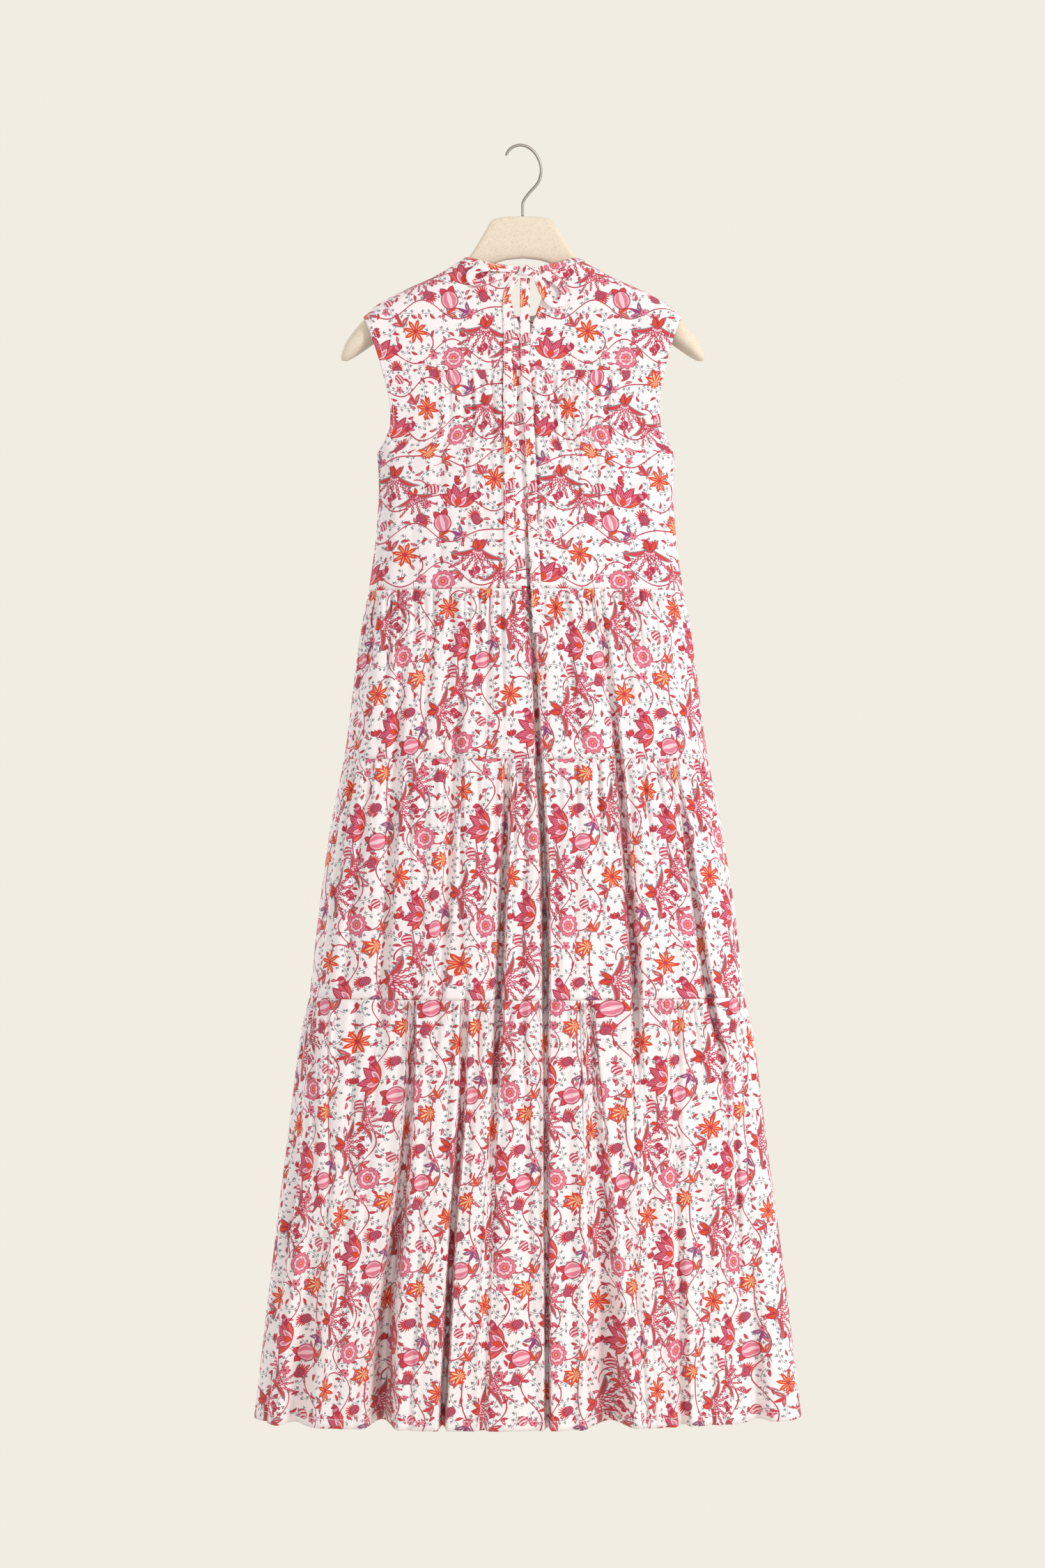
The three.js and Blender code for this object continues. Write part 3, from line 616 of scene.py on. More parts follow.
def spray(plan, cloth, at, turn, size=1.0, inner=RED, twice=True):
    """Three leaves on a short stalk, with a grey shadow behind the pair."""
    x, y = spot(plan, at, turn, size, twice)
    pair = leaf(*turned(abs(x), y, 38), 14, 4.6, 1.3)
    cloth = plan.fill(cloth, pair - 0.5, GREY)
    cloth = plan.fill(cloth, pair + 0.5, inner)
    cloth = plan.fill(cloth, pair + 1.9, BLUSH)
    top = leaf(*turned(x, y, 90), 16, 4.6, 1.2)
    cloth = plan.fill(cloth, top, inner)
    stalk = plan.math("MAXIMUM", abs(x.times_plus(1.0, y * y * 0.012)) - 0.35, abs(y + 6.0) - 7.0)
    return plan.fill(cloth, stalk, CRIMSON)


# %% Stems and fine sprigs
def vine(plan, cloth, height, swing, phase):
    """A thin red stem that waves from motif to motif through each row of the repeat."""
    row = plan.math("FLOOR", plan.y.times_plus(1 / REPEAT_ROW, 0.5 - height / REPEAT_ROW))
    down = row.times_plus(-REPEAT_ROW, plan.y) - height
    along = (row * (REPEAT_WIDTH / 2) + plan.x) * (2 * math.pi / REPEAT_WIDTH)
    wave = plan.math("SINE", along * 2.0 + phase).times_plus(swing, plan.math("SINE", along * 3.0) * 4.0)
    return plan.fill(cloth, abs(down - wave) - 0.75, CRIMSON)


def curl(plan, cloth, at, turn, radius, sweep):
    """A thin arc of stem."""
    r, angle = polar(plan, *spot(plan, at, turn, twice=True))
    arc = plan.math("MAXIMUM", abs(r - radius) - 0.7, abs(angle) * radius - radius * sweep / 2)
    return plan.fill(cloth, arc, CRIMSON)


def scattered(plan, pitch, shift):
    """Local place in a grid of cells, each turned its own way by chance."""
    x, y = plan.x.times_plus(1 / pitch, shift), plan.y.times_plus(1 / pitch, shift * 1.7)
    column, line = plan.math("FLOOR", x), plan.math("FLOOR", y)
    cell = plan.node("ShaderNodeCombineXYZ", {0: column, 1: line})
    chance = plan.node("ShaderNodeTexWhiteNoise", {"Vector": cell}, output="Value", noise_dimensions="2D")
    u, v = (x - column).times_plus(pitch, -pitch / 2), (y - line).times_plus(pitch, -pitch / 2)
    angle = chance * 12.6
    c, s = plan.math("COSINE", angle), plan.math("SINE", angle)
    return u * c + v * s, v * c - u * s


def grey_sprigs(plan, cloth):
    """Fine grey twigs whose side shoots end in dots, scattered all over the ground."""
    along, aside = scattered(plan, 20.0, 0.0)
    bent = (along * along).times_plus(0.03, aside) - 1.0
    shoot_pitch = 3.6
    number = plan.math("FLOOR", along.times_plus(1 / shoot_pitch, 0.5))
    here = number.times_plus(-shoot_pitch, along)
    hand = plan.math("FLOORED_MODULO", number, 2.0).times_plus(2.0, -1.0)
    out = bent * hand
    end = abs(along) - 9.4
    twig = plan.math("MAXIMUM", abs(here) - 0.32, abs(out - 1.7) - 1.7)
    lines = plan.math("MINIMUM", abs(bent) - 0.32, twig)
    cloth = plan.fill(cloth, plan.math("MAXIMUM", lines, end), GREY)
    pair, _ = polar(plan, abs(here) - 1.0, out - 2.6)
    tip, _ = polar(plan, here, out - 4.1)
    dots = plan.math("MAXIMUM", plan.math("MINIMUM", pair, tip) - 0.72, end)
    return plan.fill(cloth, dots, SLATE)


def scattered_leaves(plan, cloth, pitch, shift, inner):
    """Small single leaves with a darker edge, scattered over the ground."""
    x, y = scattered(plan, pitch, shift)
    blade = leaf(x + 4.5, y, 9.0, 3.4, 0.9)
    cloth = plan.fill(cloth, blade, CRIMSON)
    return plan.fill(cloth, blade + 0.9, inner)


# %% The print
# What is printed, from the ground upwards: each motif with its own values, most of them its place
# in the repeat in millimetres, its turn in degrees and its size
PRINTED = [
    (grey_sprigs,),
    (scattered_leaves, 21.0, 0.37, RED), (scattered_leaves, 27.0, 0.81, ROSE),
    (vine, 4.0, 11.0, 0.4), (vine, -34.0, 8.0, 2.6),
    (curl, (-17, 15), 30, 13, 2.6), (curl, (29, -17), 200, 16, 2.2),
    (spray, (-38, 33), 25, 0.95), (spray, (12, -38), -60, 0.9, ORANGE), (spray, (36, 8), 140, 0.85),
    (spray, (-10, -12), 200, 0.8, CRIMSON), (spray, (-60, -36), 70, 0.9, PLUM, False),
    (tulip, (-43, 5), 35), (tulip, (26, 26), -80, 0.85, ORANGE),
    (small_flower, (-4, 0), 0), (small_flower, (40, -36), 20, 0.8),
    (berry, (43, -24), 30), (berry, (-95, 17), 10, 1.1),
    (thistle, (-45, -17), 20), (thistle, (89, -17), -130, 0.9),
    (plume, (78, 12), 20, 0.72), (plume, (56, 36), -8, 0.95),
    (striped_bloom, (-83, -22), 15, 1.1), (flame_lily, (-4, -28), 25, 1.1),
    (star_flower, (-24, 28), 10, 0.82), (rosette, (19, -3), 0, 0.9), (lotus, (-68, -4), -12, 0.82),
]


def chintz_print():
    """Colour of the printed cotton at a place on the cloth, given in metres. Paleness is 0 on the
    printed side, and higher where the print only shows through."""
    plan = Plan("chintz print", [("Place", "NodeSocketVector"), ("Paleness", "NodeSocketFloat")],
                [("Color", "NodeSocketColor")])
    place = plan.node("ShaderNodeVectorMath", {0: plan.given("Place"), 1: (1000, 1000, 1000)},
                      operation="MULTIPLY")
    plan.x, plan.y = plan.split(place)
    plan.cells = repeat_cells(plan)
    cloth = plan.node("ShaderNodeRGB")
    cloth.socket.default_value = GROUND
    for motif, *how in PRINTED:
        cloth = motif(plan, cloth, *how)
    plan.give("Color", plan.paint(cloth, plan.given("Paleness"), REVERSE))
    print("nodes in the print:", len(plan.tree.nodes))
    return plan.tree


chintz = chintz_print()

# %% [markdown]
# ## Cotton, moulding and wire
#
# The cloth is a light plain weave. Its threads are far finer than the print, so they are only a
# bump and a faint unevenness in the finish, made once as a group and set in each material with its
# own values. The reverse of the cloth shows the print paler. The tiers are cut across the cloth, so
# their print lies on its side. The hanger is a matte moulding with fine specks in it, and its hook
# is drawn steel with faint lines along the wire.

# %% Weave, specks and drawn lines
YARN_SCALE = 240.0


def noise(plan, place, scale, detail=2.0):
    """Soft noise at a place, from 0 to 1."""
    values = {"Vector": place, "Scale": scale, "Detail": detail}
    return plan.node("ShaderNodeTexNoise", values, output="Fac")


def plain_weave():
    """Crossing threads: their height, and a slow unevenness from thick and thin yarn."""
    plan = Plan("plain weave", [("Place", "NodeSocketVector"), ("Threads per metre", "NodeSocketFloat")],
                [("Height", "NodeSocketFloat"), ("Unevenness", "NodeSocketFloat")])
    place, threads = plan.given("Place"), plan.given("Threads per metre")
    x, y = (part * threads * math.pi for part in plan.split(place))
    plan.give("Height", abs(plan.math("SINE", x) * plan.math("SINE", y)))
    plan.give("Unevenness", noise(plan, place, YARN_SCALE))
    return plan.tree


def specks():
    """A mask of small specks, and a soft unevenness of the skin of a moulding."""
    plan = Plan("specks", [("Place", "NodeSocketVector"), ("Size", "NodeSocketFloat")],
                [("Mask", "NodeSocketFloat"), ("Unevenness", "NodeSocketFloat")])
    place = plan.given("Place")
    scale = plan.math("DIVIDE", 1.0, plan.given("Size"))
    grains = plan.node("ShaderNodeTexVoronoi", {"Vector": place, "Scale": scale}, output="Distance")
    some = noise(plan, place, scale * 0.37)
    mask = plan.math("MULTIPLY", grains.times_plus(-4.0, 1.3), some.times_plus(5.0, -2.4), clamp=True)
    plan.give("Mask", mask)
    plan.give("Unevenness", noise(plan, place, scale * 0.12, detail=3.0))
    return plan.tree


weave, speck_group = plain_weave(), specks()


# %% A material and what changes over it
class Finish:
    """A material in the making: constant values stand on its shader's own sockets, and nodes bring
    what changes over the surface."""

    def __init__(self, name, **constants):
        self.material = bpy.data.materials.new(name)
        self.material.use_nodes = True
        self.shader = self.material.node_tree.nodes["Principled BSDF"]
        for label, value in constants.items():
            self.feed(self.shader, label.replace("_", " "), value)

    def feed(self, node, key, value):
        """Gives an input a constant, or links it to another node's output."""
        if isinstance(value, bpy.types.NodeSocket):
            self.material.node_tree.links.new(value, node.inputs[key])
        else:
            node.inputs[key].default_value = value

    def add(self, kind, tree=None, **inputs):
        """A new node. An underscore in an input's name stands for a space."""
        node = self.material.node_tree.nodes.new(kind)
        if tree:
            node.node_tree = tree
        for label, value in inputs.items():
            self.feed(node, label.replace("_", " "), value)
        return node

    def between(self, value, low, high):
        """Brings a value that runs from 0 to 1 between two others."""
        return self.add("ShaderNodeMapRange", Value=value, To_Min=low, To_Max=high).outputs["Result"]

    def colour(self, colour, value, low, high):
        """Sets the colour, darker and lighter as a value changes over the surface."""
        toned = self.add("ShaderNodeVectorMath", Vector=colour)
        toned.operation = "SCALE"
        self.feed(toned, "Scale", self.between(value, low, high))
        self.feed(self.shader, "Base Color", toned.outputs["Vector"])

    def roughness(self, value, low, high):
        """Sets the roughness between two values."""
        self.feed(self.shader, "Roughness", self.between(value, low, high))

    def relief(self, height, distance, strength, **under):
        """Presses fine relief into the surface, and gives back its normal."""
        bump = self.add("ShaderNodeBump", Height=height, Distance=distance, Strength=strength, **under)
        self.feed(self.shader, "Normal", bump.outputs["Normal"])
        return bump.outputs["Normal"]

    def place_on_map(self):
        """Place on the piece's own map, in metres."""
        place = self.add("ShaderNodeUVMap")
        place.uv_map = "cloth"
        return place.outputs["UV"]


# %% Printed cotton
TURNED = -math.pi / 2
THREADS_PER_METRE = 2600.0


def cloth_material(name, turn=0.0, paleness=0.0, creases=(34, 34), crease_depth=1.1 * MM):
    """Printed cotton. Turn is how the print lies on the cut piece. Creases says how many soft creases
    cross a metre of it, sideways and downwards."""
    finish = Finish(name, Specular_IOR_Level=0.25, Sheen_Weight=0.12, Sheen_Roughness=0.5)
    place = finish.place_on_map()
    lay = finish.add("ShaderNodeMapping", Vector=place, Rotation=(0, 0, turn))
    printed = finish.add("ShaderNodeGroup", chintz, Place=lay.outputs["Vector"], Paleness=paleness)
    threads = finish.add("ShaderNodeGroup", weave, Place=place, Threads_per_metre=THREADS_PER_METRE)
    finish.colour(printed.outputs["Color"], threads.outputs["Unevenness"], 0.94, 1.03)
    finish.roughness(threads.outputs["Unevenness"], 0.78, 0.94)
    stretched = finish.add("ShaderNodeMapping", Vector=place, Scale=(*creases, 1)).outputs["Vector"]
    creased = finish.add("ShaderNodeTexNoise", Vector=stretched, Scale=1.0, Detail=3.0, Roughness=0.55)
    soft = finish.relief(creased.outputs["Fac"], crease_depth, 0.55)
    finish.relief(threads.outputs["Height"], 0.05 * MM, 0.4, Normal=soft)
    return finish.material


gathered = {"turn": TURNED, "creases": (85, 8), "crease_depth": 2.2 * MM}
cotton = cloth_material("printed cotton")
cotton_reverse = cloth_material("printed cotton, reverse", paleness=0.55)
cotton_turned = cloth_material("printed cotton, turned", **gathered)
cotton_turned_reverse = cloth_material("printed cotton, turned, reverse", paleness=0.55, **gathered)


# %% Thread, moulding and wire
def thread_material():
    """White sewing thread: two plies that twist along each stitch."""
    finish = Finish("white thread", Base_Color=ink("#fff7f4"), Specular_IOR_Level=0.4, Sheen_Weight=0.2)
    place = finish.add("ShaderNodeTexCoord").outputs["Object"]
    plies = finish.add("ShaderNodeTexNoise", Vector=place, Scale=2200.0)
    finish.roughness(plies.outputs["Fac"], 0.5, 0.75)
    finish.relief(plies.outputs["Fac"], 0.1 * MM, 0.5)
    return finish.material


def moulding_material():
    """Matte cream moulding with fine specks."""
    finish = Finish("cream moulding", Specular_IOR_Level=0.35, Coat_Weight=0.05)
    place = finish.add("ShaderNodeTexCoord").outputs["Object"]
    grain = finish.add("ShaderNodeGroup", speck_group, Place=place, Size=0.8 * MM)
    flecked = finish.add("ShaderNodeMix")
    flecked.data_type = "RGBA"
    for key, value in ((0, grain.outputs["Mask"]), (6, ink("#eddfca")), (7, ink("#dbc8ab"))):
        finish.feed(flecked, key, value)
    finish.colour(flecked.outputs[2], grain.outputs["Unevenness"], 0.93, 1.05)
    finish.roughness(grain.outputs["Unevenness"], 0.5, 0.72)
    finish.relief(grain.outputs["Unevenness"], 0.3 * MM, 0.35)
    return finish.material


def wire_material():
    """Bright steel wire. The map runs along it, so the drawn lines do too."""
    finish = Finish("drawn steel wire", Metallic=1.0, Base_Color=ink("#a29c94"))
    drawn = finish.add("ShaderNodeMapping", Vector=finish.place_on_map(), Scale=(40, 2600, 1))
    lines = finish.add("ShaderNodeTexNoise", Vector=drawn.outputs["Vector"], Scale=1.0, Detail=3.0)
    finish.roughness(lines.outputs["Fac"], 0.3, 0.5)
    finish.relief(lines.outputs["Fac"], 0.05 * MM, 0.4)
    return finish.material


white_thread = thread_material()
hanger_moulding = moulding_material()
hook_wire = wire_material()
print("materials:", len(bpy.data.materials))

# %% [markdown]
# ## From points to cloth
#
# A sheet is a grid of points with its own map: how far along the cut cloth each point lies, in
# metres. The print and the weave are laid on that map, so they bend and bunch up with the cloth as
# real ones do. A Solidify modifier gives the sheet its thickness and a second material for the
# reverse, where a print shows through paler.

# %% Meshes and their maps
def new_mesh(name, points, faces, materials, maps=None):
    """A smooth-shaded mesh object. Its map, where it has one, is called cloth."""
    mesh = bpy.data.meshes.new(name)
    mesh.from_pydata(np.asarray(points).tolist(), [], faces)
    if maps is not None:
        layer = mesh.uv_layers.new(name="cloth")
        corners = np.zeros(len(mesh.loops), int)
        mesh.loops.foreach_get("vertex_index", corners)
        layer.data.foreach_set("uv", maps[corners].astype(np.float32).ravel())
    mesh.shade_smooth()
    for material in materials:
        mesh.materials.append(material)
    piece = bpy.data.objects.new(name, mesh)
    bpy.context.scene.collection.objects.link(piece)
    return piece


def grid_faces(rows, columns, closed=False):
    """Faces of a grid whose rows run left to right and downwards, seen from outside."""
    i, j = np.meshgrid(np.arange(rows - 1), np.arange(columns if closed else columns - 1), indexing="ij")
    right = (j + 1) % columns
    corners = [i * columns + j, (i + 1) * columns + j, (i + 1) * columns + right, i * columns + right]
    return np.stack([c.ravel() for c in corners], axis=-1)


def map_grid(sideways, downwards):
    """A map for a grid of points, from its two places on the cut cloth."""
    return np.stack(np.broadcast_arrays(sideways, downwards), axis=-1)


def cloth_map(points):
    """A map for a panel cut as a rectangle: mean length along the rows, and down the columns."""
    across = np.linalg.norm(np.diff(points, axis=1), axis=-1).mean(axis=0)
    down = np.linalg.norm(np.diff(points, axis=0), axis=-1).mean(axis=1)
    u = np.concatenate([[0], np.cumsum(across)])
    v = np.concatenate([[0], np.cumsum(down)])
    return map_grid(u[None, :], -v[:, None])


# %% Sheets that stand for nodes
CLOTH_THICKNESS = 0.45 * MM
cuts = {}


def stand_for(piece, node):
    """Puts a piece in the place of a node, on the one body that the whole dress rides on."""
    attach(piece, "root")
    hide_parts(node)


def cut_area(maps):
    """Flat area of the cut cloth, from its map."""
    across, down = np.diff(maps, axis=1)[:-1], np.diff(maps, axis=0)[:, :-1]
    return float(np.abs(across[..., 0] * down[..., 1] - across[..., 1] * down[..., 0]).sum())


def cut_from(number):
    """Where on the bolt a panel was cut, so that no two panels show the print at the same place."""
    return np.array([61 * MM * number, 37 * MM * number])


def sheet_piece(name, points, maps, materials, thickness=CLOTH_THICKNESS):
    """A thin sheet that stands for the frame's node of the same name."""
    rows, columns = points.shape[:2]
    flat = maps.reshape(-1, 2)
    piece = new_mesh(f"{name}_cloth", points.reshape(-1, 3), grid_faces(rows, columns).tolist(),
                     materials, flat)
    solid = piece.modifiers.new("thickness", "SOLIDIFY")
    solid.thickness = thickness
    solid.offset = -1
    solid.material_offset = len(materials) - 1
    stand_for(piece, name)
    width, length = (flat.max(axis=0) - flat.min(axis=0)).tolist()
    cuts[piece.name] = width, length, cut_area(maps)
    print(f"{piece.name}: {width:.3f} by {length:.3f} m flat")


# %% [markdown]
# ## Three gathered tiers
#
# Each tier is a long rectangle of cotton, drawn up on a thread to the width of the piece above. The
# fine gathers sit right under the seam. Wider ones carry on below them, and the loosest reach the
# foot. In the last tier they open into the waves of the hem. The seam itself is stiff, because it
# holds many layers, so it stays nearly smooth and sinks in a little.

# %% Seams and hem
HEAD_GROOVE, FOOT_GROOVE, GROOVE_REACH = 1.2 * MM, 1.0 * MM, 5 * MM
HEAD_LIFT, HEAD_TUCK, TUCK_END = 1.2 * MM, 0.9 * MM, 0.1 * MM
HEM_TURN, HEM_STEP, HEM_STEP_RUN = 12 * MM, 0.35 * MM, 1.2 * MM
SIDE_REST, FOOT_REST = 14 * MM, 22 * MM
EVEN_ROWS, CROWDED_ROWS = 0.42, 0.58


def head_groove(down):
    """How far a panel's head is drawn in. It ends just above the seam, tucked behind the piece above."""
    tuck = HEAD_TUCK * (1 - soft_step(down, -HEAD_LIFT, -TUCK_END))
    return HEAD_GROOVE * (1 - soft_step(down, 0, GROOVE_REACH)) + tuck


def foot_groove(up):
    """How far a panel is drawn in towards the seam at its foot."""
    return FOOT_GROOVE * (1 - soft_step(up, 0, GROOVE_REACH))


def hem_step(up):
    """The cloth above the turned-up hem lies one thickness further in."""
    return HEM_STEP * soft_step(up, HEM_TURN, HEM_TURN + HEM_STEP_RUN)


def row_heights(top, foot, count):
    """Heights of a panel's rows, closer together under the seam, where the gathers change fastest.
    Two more rows stand at the hem's inner edge."""
    share = np.linspace(0, 1, count)
    rows = top + HEAD_LIFT + (foot - top - HEAD_LIFT) * (EVEN_ROWS * share + CROWDED_ROWS * share ** 2)
    if foot == HEM:
        rows = np.sort(np.append(rows, [HEM + HEM_TURN, HEM + HEM_TURN + HEM_STEP_RUN]))[::-1]
    return rows


# %% A panel before its gathers
def folded_panel(face, top, foot, rows, columns):
    """The rows and columns of a panel, how deep its folds sink it, and how free each place is to
    gather: 0 in a fold's valley and at the sides, 1 between them."""
    z = row_heights(top, foot, rows)
    folds = folds_between(face, top, foot)
    wanted, along = fold_columns(face, folds, z, columns)
    sink, near = fold_sink(folds, along, z[:, None])
    free = soft_step(reach_at(z)[:, None] - np.abs(along), 0, SIDE_REST) * (1 - near) ** 0.5
    return z, wanted, along, sink, free


def held_at_foot(down, length):
    """1 over most of a panel, and less near its foot, where the next seam holds it nearly flat."""
    return 1 - soft_step(down, length - FOOT_REST, length)[:, None]


# %% Tier panels
# Pitch, depth, rise and length of each kind of gather. The wide ones and the waves run to the foot.
FINE_GATHERS = 6.5 * MM, 2.2 * MM, 2 * MM, 34 * MM
MIDDLE_GATHERS = 9.5 * MM, 3.6 * MM, 3 * MM, 120 * MM
WIDE_GATHERS = 19 * MM, 5.0 * MM, 8 * MM
WAVE_PITCH, WAVE_RISE = 43 * MM, 20 * MM
PAST_FOOT, FAR_PAST_FOOT = 1.1, 9


def tier_points(face, top, foot, rows, columns, seed, wave):
    """Points of a tier's back or front panel."""
    rng = np.random.default_rng(seed)
    z, wanted, along, sink, free = folded_panel(face, top, foot, rows, columns)
    down, length = top - z, top - foot
    hold = 1 if foot == HEM else held_at_foot(down, length)
    loose = soft_step(down, 10 * MM, 0.5 * length)[:, None]
    ripples = gathers(rng, wanted, down, *FINE_GATHERS)
    ripples += gathers(rng, wanted, down, *MIDDLE_GATHERS)
    ripples += gathers(rng, wanted, down, *WIDE_GATHERS, PAST_FOOT * length) * hold
    waves = gathers(rng, wanted, down, WAVE_PITCH, wave, WAVE_RISE, FAR_PAST_FOOT * length)
    ripples += waves * loose * hold
    groove = head_groove(down) + (hem_step(length - down) if foot == HEM else foot_groove(length - down))
    return tube(face, along, z[:, None], sink + ripples * free + groove[:, None])


plain_cut, turned_cut = [cotton, cotton_reverse], [cotton_turned, cotton_turned_reverse]
tiers = [
    # name, top, foot, rows and columns behind, rows and columns in front, depth of the loosest waves
    ("tier_2", SECOND_TIER, THIRD_TIER, (64, 310), (54, 250), 3.5 * MM),
    ("tier_3", THIRD_TIER, FOURTH_TIER, (84, 350), (64, 270), 4.5 * MM),
    ("tier_4", FOURTH_TIER, HEM, (112, 400), (84, 310), 7 * MM),
]
grids = {}
for number, (name, top, foot, back_grid, front_grid, wave) in enumerate(tiers):
    sides = ("back", BACK, back_grid), ("front", FRONT, front_grid)
    for in_front, (side, face, grid) in enumerate(sides):
        points = tier_points(face, top, foot, *grid, seed=10 * number + in_front, wave=wave)
        maps = cloth_map(points) + cut_from(3 * number + in_front)
        sheet_piece(f"{name}_{side}", points, maps, turned_cut)
        grids[name, side] = points

# %% [markdown]
# ## Bodice and yoke
#
# The back yoke is two plain halves that roll over the hanger's arms. Below it the back bodice is
# gathered, but only under the middle, and plain towards the armholes. The front is one plain piece
# from the shoulders down to the first tier.

# %% Back bodice
YOKE_GATHER_REACH = 92 * MM, 112 * MM
YOKE_FINE_GATHERS = 6.5 * MM, 2.4 * MM, 2 * MM, 60 * MM
YOKE_WIDE_GATHERS = 15 * MM, 4.4 * MM, 8 * MM, 240 * MM
BODICE_WAVES = 34 * MM, 2.6 * MM, 20 * MM


def back_bodice_points(rows=84, columns=250):
    """Points of the back bodice. It gathers under the middle of the yoke, and waves a little lower."""
    rng = np.random.default_rng(41)
    z, wanted, along, sink, free = folded_panel(BACK, YOKE_SEAM, SECOND_TIER, rows, columns)
    down, length = YOKE_SEAM - z, YOKE_SEAM - SECOND_TIER
    middle = 1 - soft_step(np.abs(along), *YOKE_GATHER_REACH)
    loose = soft_step(down, 20 * MM, 0.6 * length)[:, None]
    hold = held_at_foot(down, length)
    ripples = gathers(rng, wanted, down, *YOKE_FINE_GATHERS) * middle
    ripples += gathers(rng, wanted, down, *YOKE_WIDE_GATHERS) * middle
    ripples += gathers(rng, wanted, down, *BODICE_WAVES, FAR_PAST_FOOT * length) * loose * hold
    groove = head_groove(down) + foot_groove(length - down)
    return tube(BACK, along, z[:, None], sink + ripples * free + groove[:, None])


points = back_bodice_points()
sheet_piece("back_bodice", points, cloth_map(points) + cut_from(2), plain_cut)
grids["bodice", "back"] = points


# %% Rows that start at a curved top edge
def roll_length(drop):
    """Length of cloth from the shoulder line to a drop below it, round the roll and then straight."""
    turn = np.arccos(np.clip(1 - drop / SHOULDER_ROLL, 0, 1))
    return SHOULDER_ROLL * turn + np.maximum(0, drop - SHOULDER_ROLL)


def roll_drop(length):
    """The drop below the shoulder line for a length of cloth."""
    turn = np.minimum(length / SHOULDER_ROLL, math.pi / 2)
    return SHOULDER_ROLL * (1 - np.cos(turn)) + np.maximum(0, length - SHOULDER_ROLL * math.pi / 2)


def hanging_rows(x, top, foot, count):
    """Heights from a curved top edge down to a level seam, even along the cloth, for each sideways
    place, and their lengths below the shoulder line."""
    line = ridge(x)
    start, end = roll_length(line - top), roll_length(line - foot)
    share = np.linspace(0, 1, count)[:, None]
    length = start + (end - start) * share
    return line - roll_drop(length), length


def neck_dip(share, power):
    """How far the neck dips, from 1 in the middle to 0 at the side."""
    return 1 - np.abs(share) ** power


def neck_seam(face, x):
    """Height of the neck seam: shallow behind, a round scoop in front."""
    share = np.clip(np.abs(x) / BAND_SEAM, 0, 1)
    side = NECK_POINT - BAND_FALL
    if face == BACK:
        return side - SEAM_BACK_DIP * neck_dip(share, BACK_DIP_POWER)
    return side - SEAM_FRONT_DIP * np.sqrt(1 - share * share)


def top_edge(face, x):
    """Height of a top edge: the neck seam in the middle, and the shoulder line outside it."""
    return np.where(np.abs(x) < BAND_SEAM, neck_seam(face, x), ridge(x))


# %% Back yoke
TIP = 182.5 * MM
SLIT_GAP = 0.2 * MM


def slit_edge(z, hand):
    """Distance of the slit's edge from the middle of the back, on one hand."""
    return np.maximum(SLIT_GAP, soft_read(slit, "z", z, "half")) + hand * SLIT_MIDDLE


def yoke_points(hand, rows=64, columns=88):
    """Points and map of one half of the yoke, from the slit out to the armhole."""
    start = float(slit_edge(neck_seam(BACK, 0.0), hand))
    across = np.linspace(0, 1, columns)
    if hand < 0:
        across = across[::-1]
    x = start + across * (TIP - start)
    z, length = hanging_rows(x, top_edge(BACK, x), YOKE_SEAM + 0.0 * x, rows)
    inner, outer = slit_edge(z, hand), reach_at(np.minimum(z, SHOULDER_TIP))
    along = hand * (inner + across * (outer - inner))
    return tube(BACK, along, z, foot_groove(z - YOKE_SEAM)), map_grid(along, ridge(x) - length)


for hand, name in ((-1, "back_yoke_left"), (1, "back_yoke_right")):
    points, maps = yoke_points(hand)
    sheet_piece(name, points, maps, plain_cut)
    grids[name, "back"] = points


# %% Front bodice
SOFT_WAVE, SOFT_WAVE_PITCH, SOFT_WAVE_START = 1.6 * MM, 37 * MM, 1.3
SOFT_FOOT, SOFT_SIDE = 30 * MM, 40 * MM


def front_bodice_points(rows=100, columns=164):
    """Points and map of the plain front, with a few soft waves low down."""
    x = np.linspace(TIP, -TIP, columns)
    z, length = hanging_rows(x, top_edge(FRONT, x), SECOND_TIER + 0.0 * x, rows)
    along = x / TIP * reach_at(np.minimum(z, SHOULDER_TIP))
    soft = SOFT_WAVE * np.sin(along / SOFT_WAVE_PITCH + SOFT_WAVE_START) ** 2
    soft *= soft_step(-z, -SHOULDER_TIP, -UNDERARM)
    soft *= soft_step(z - SECOND_TIER, 0, SOFT_FOOT) * soft_step(TIP - np.abs(along), 0, SOFT_SIDE)
    points = tube(FRONT, along, z, foot_groove(z - SECOND_TIER) + soft)
    return points, map_grid(-along, ridge(x) - length)


points, maps = front_bodice_points()
sheet_piece("front_bodice", points, maps, plain_cut)
grids["bodice", "front"] = points

# %% [markdown]
# ## Neck band and tie
#
# A narrow bias band binds the neck from one edge of the slit round the front to the other. Its ends
# run out into the tie: a small knot, two loops and two long tails. All of it is folded tape, so it
# is thicker than the cloth and has round edges.

# %% Neck band
BAND_ENDS = (16, 347.6)
BAND_CROWN, BAND_LAP, BAND_WIDTH = 0.9 * MM, 0.3 * MM, 9 * MM
BAND_THICKNESS = 1.0 * MM


def run_along(line):
    """Distance along a line, from its first point to each."""
    return np.concatenate([[0], np.cumsum(np.linalg.norm(np.diff(line, axis=0), axis=1))])


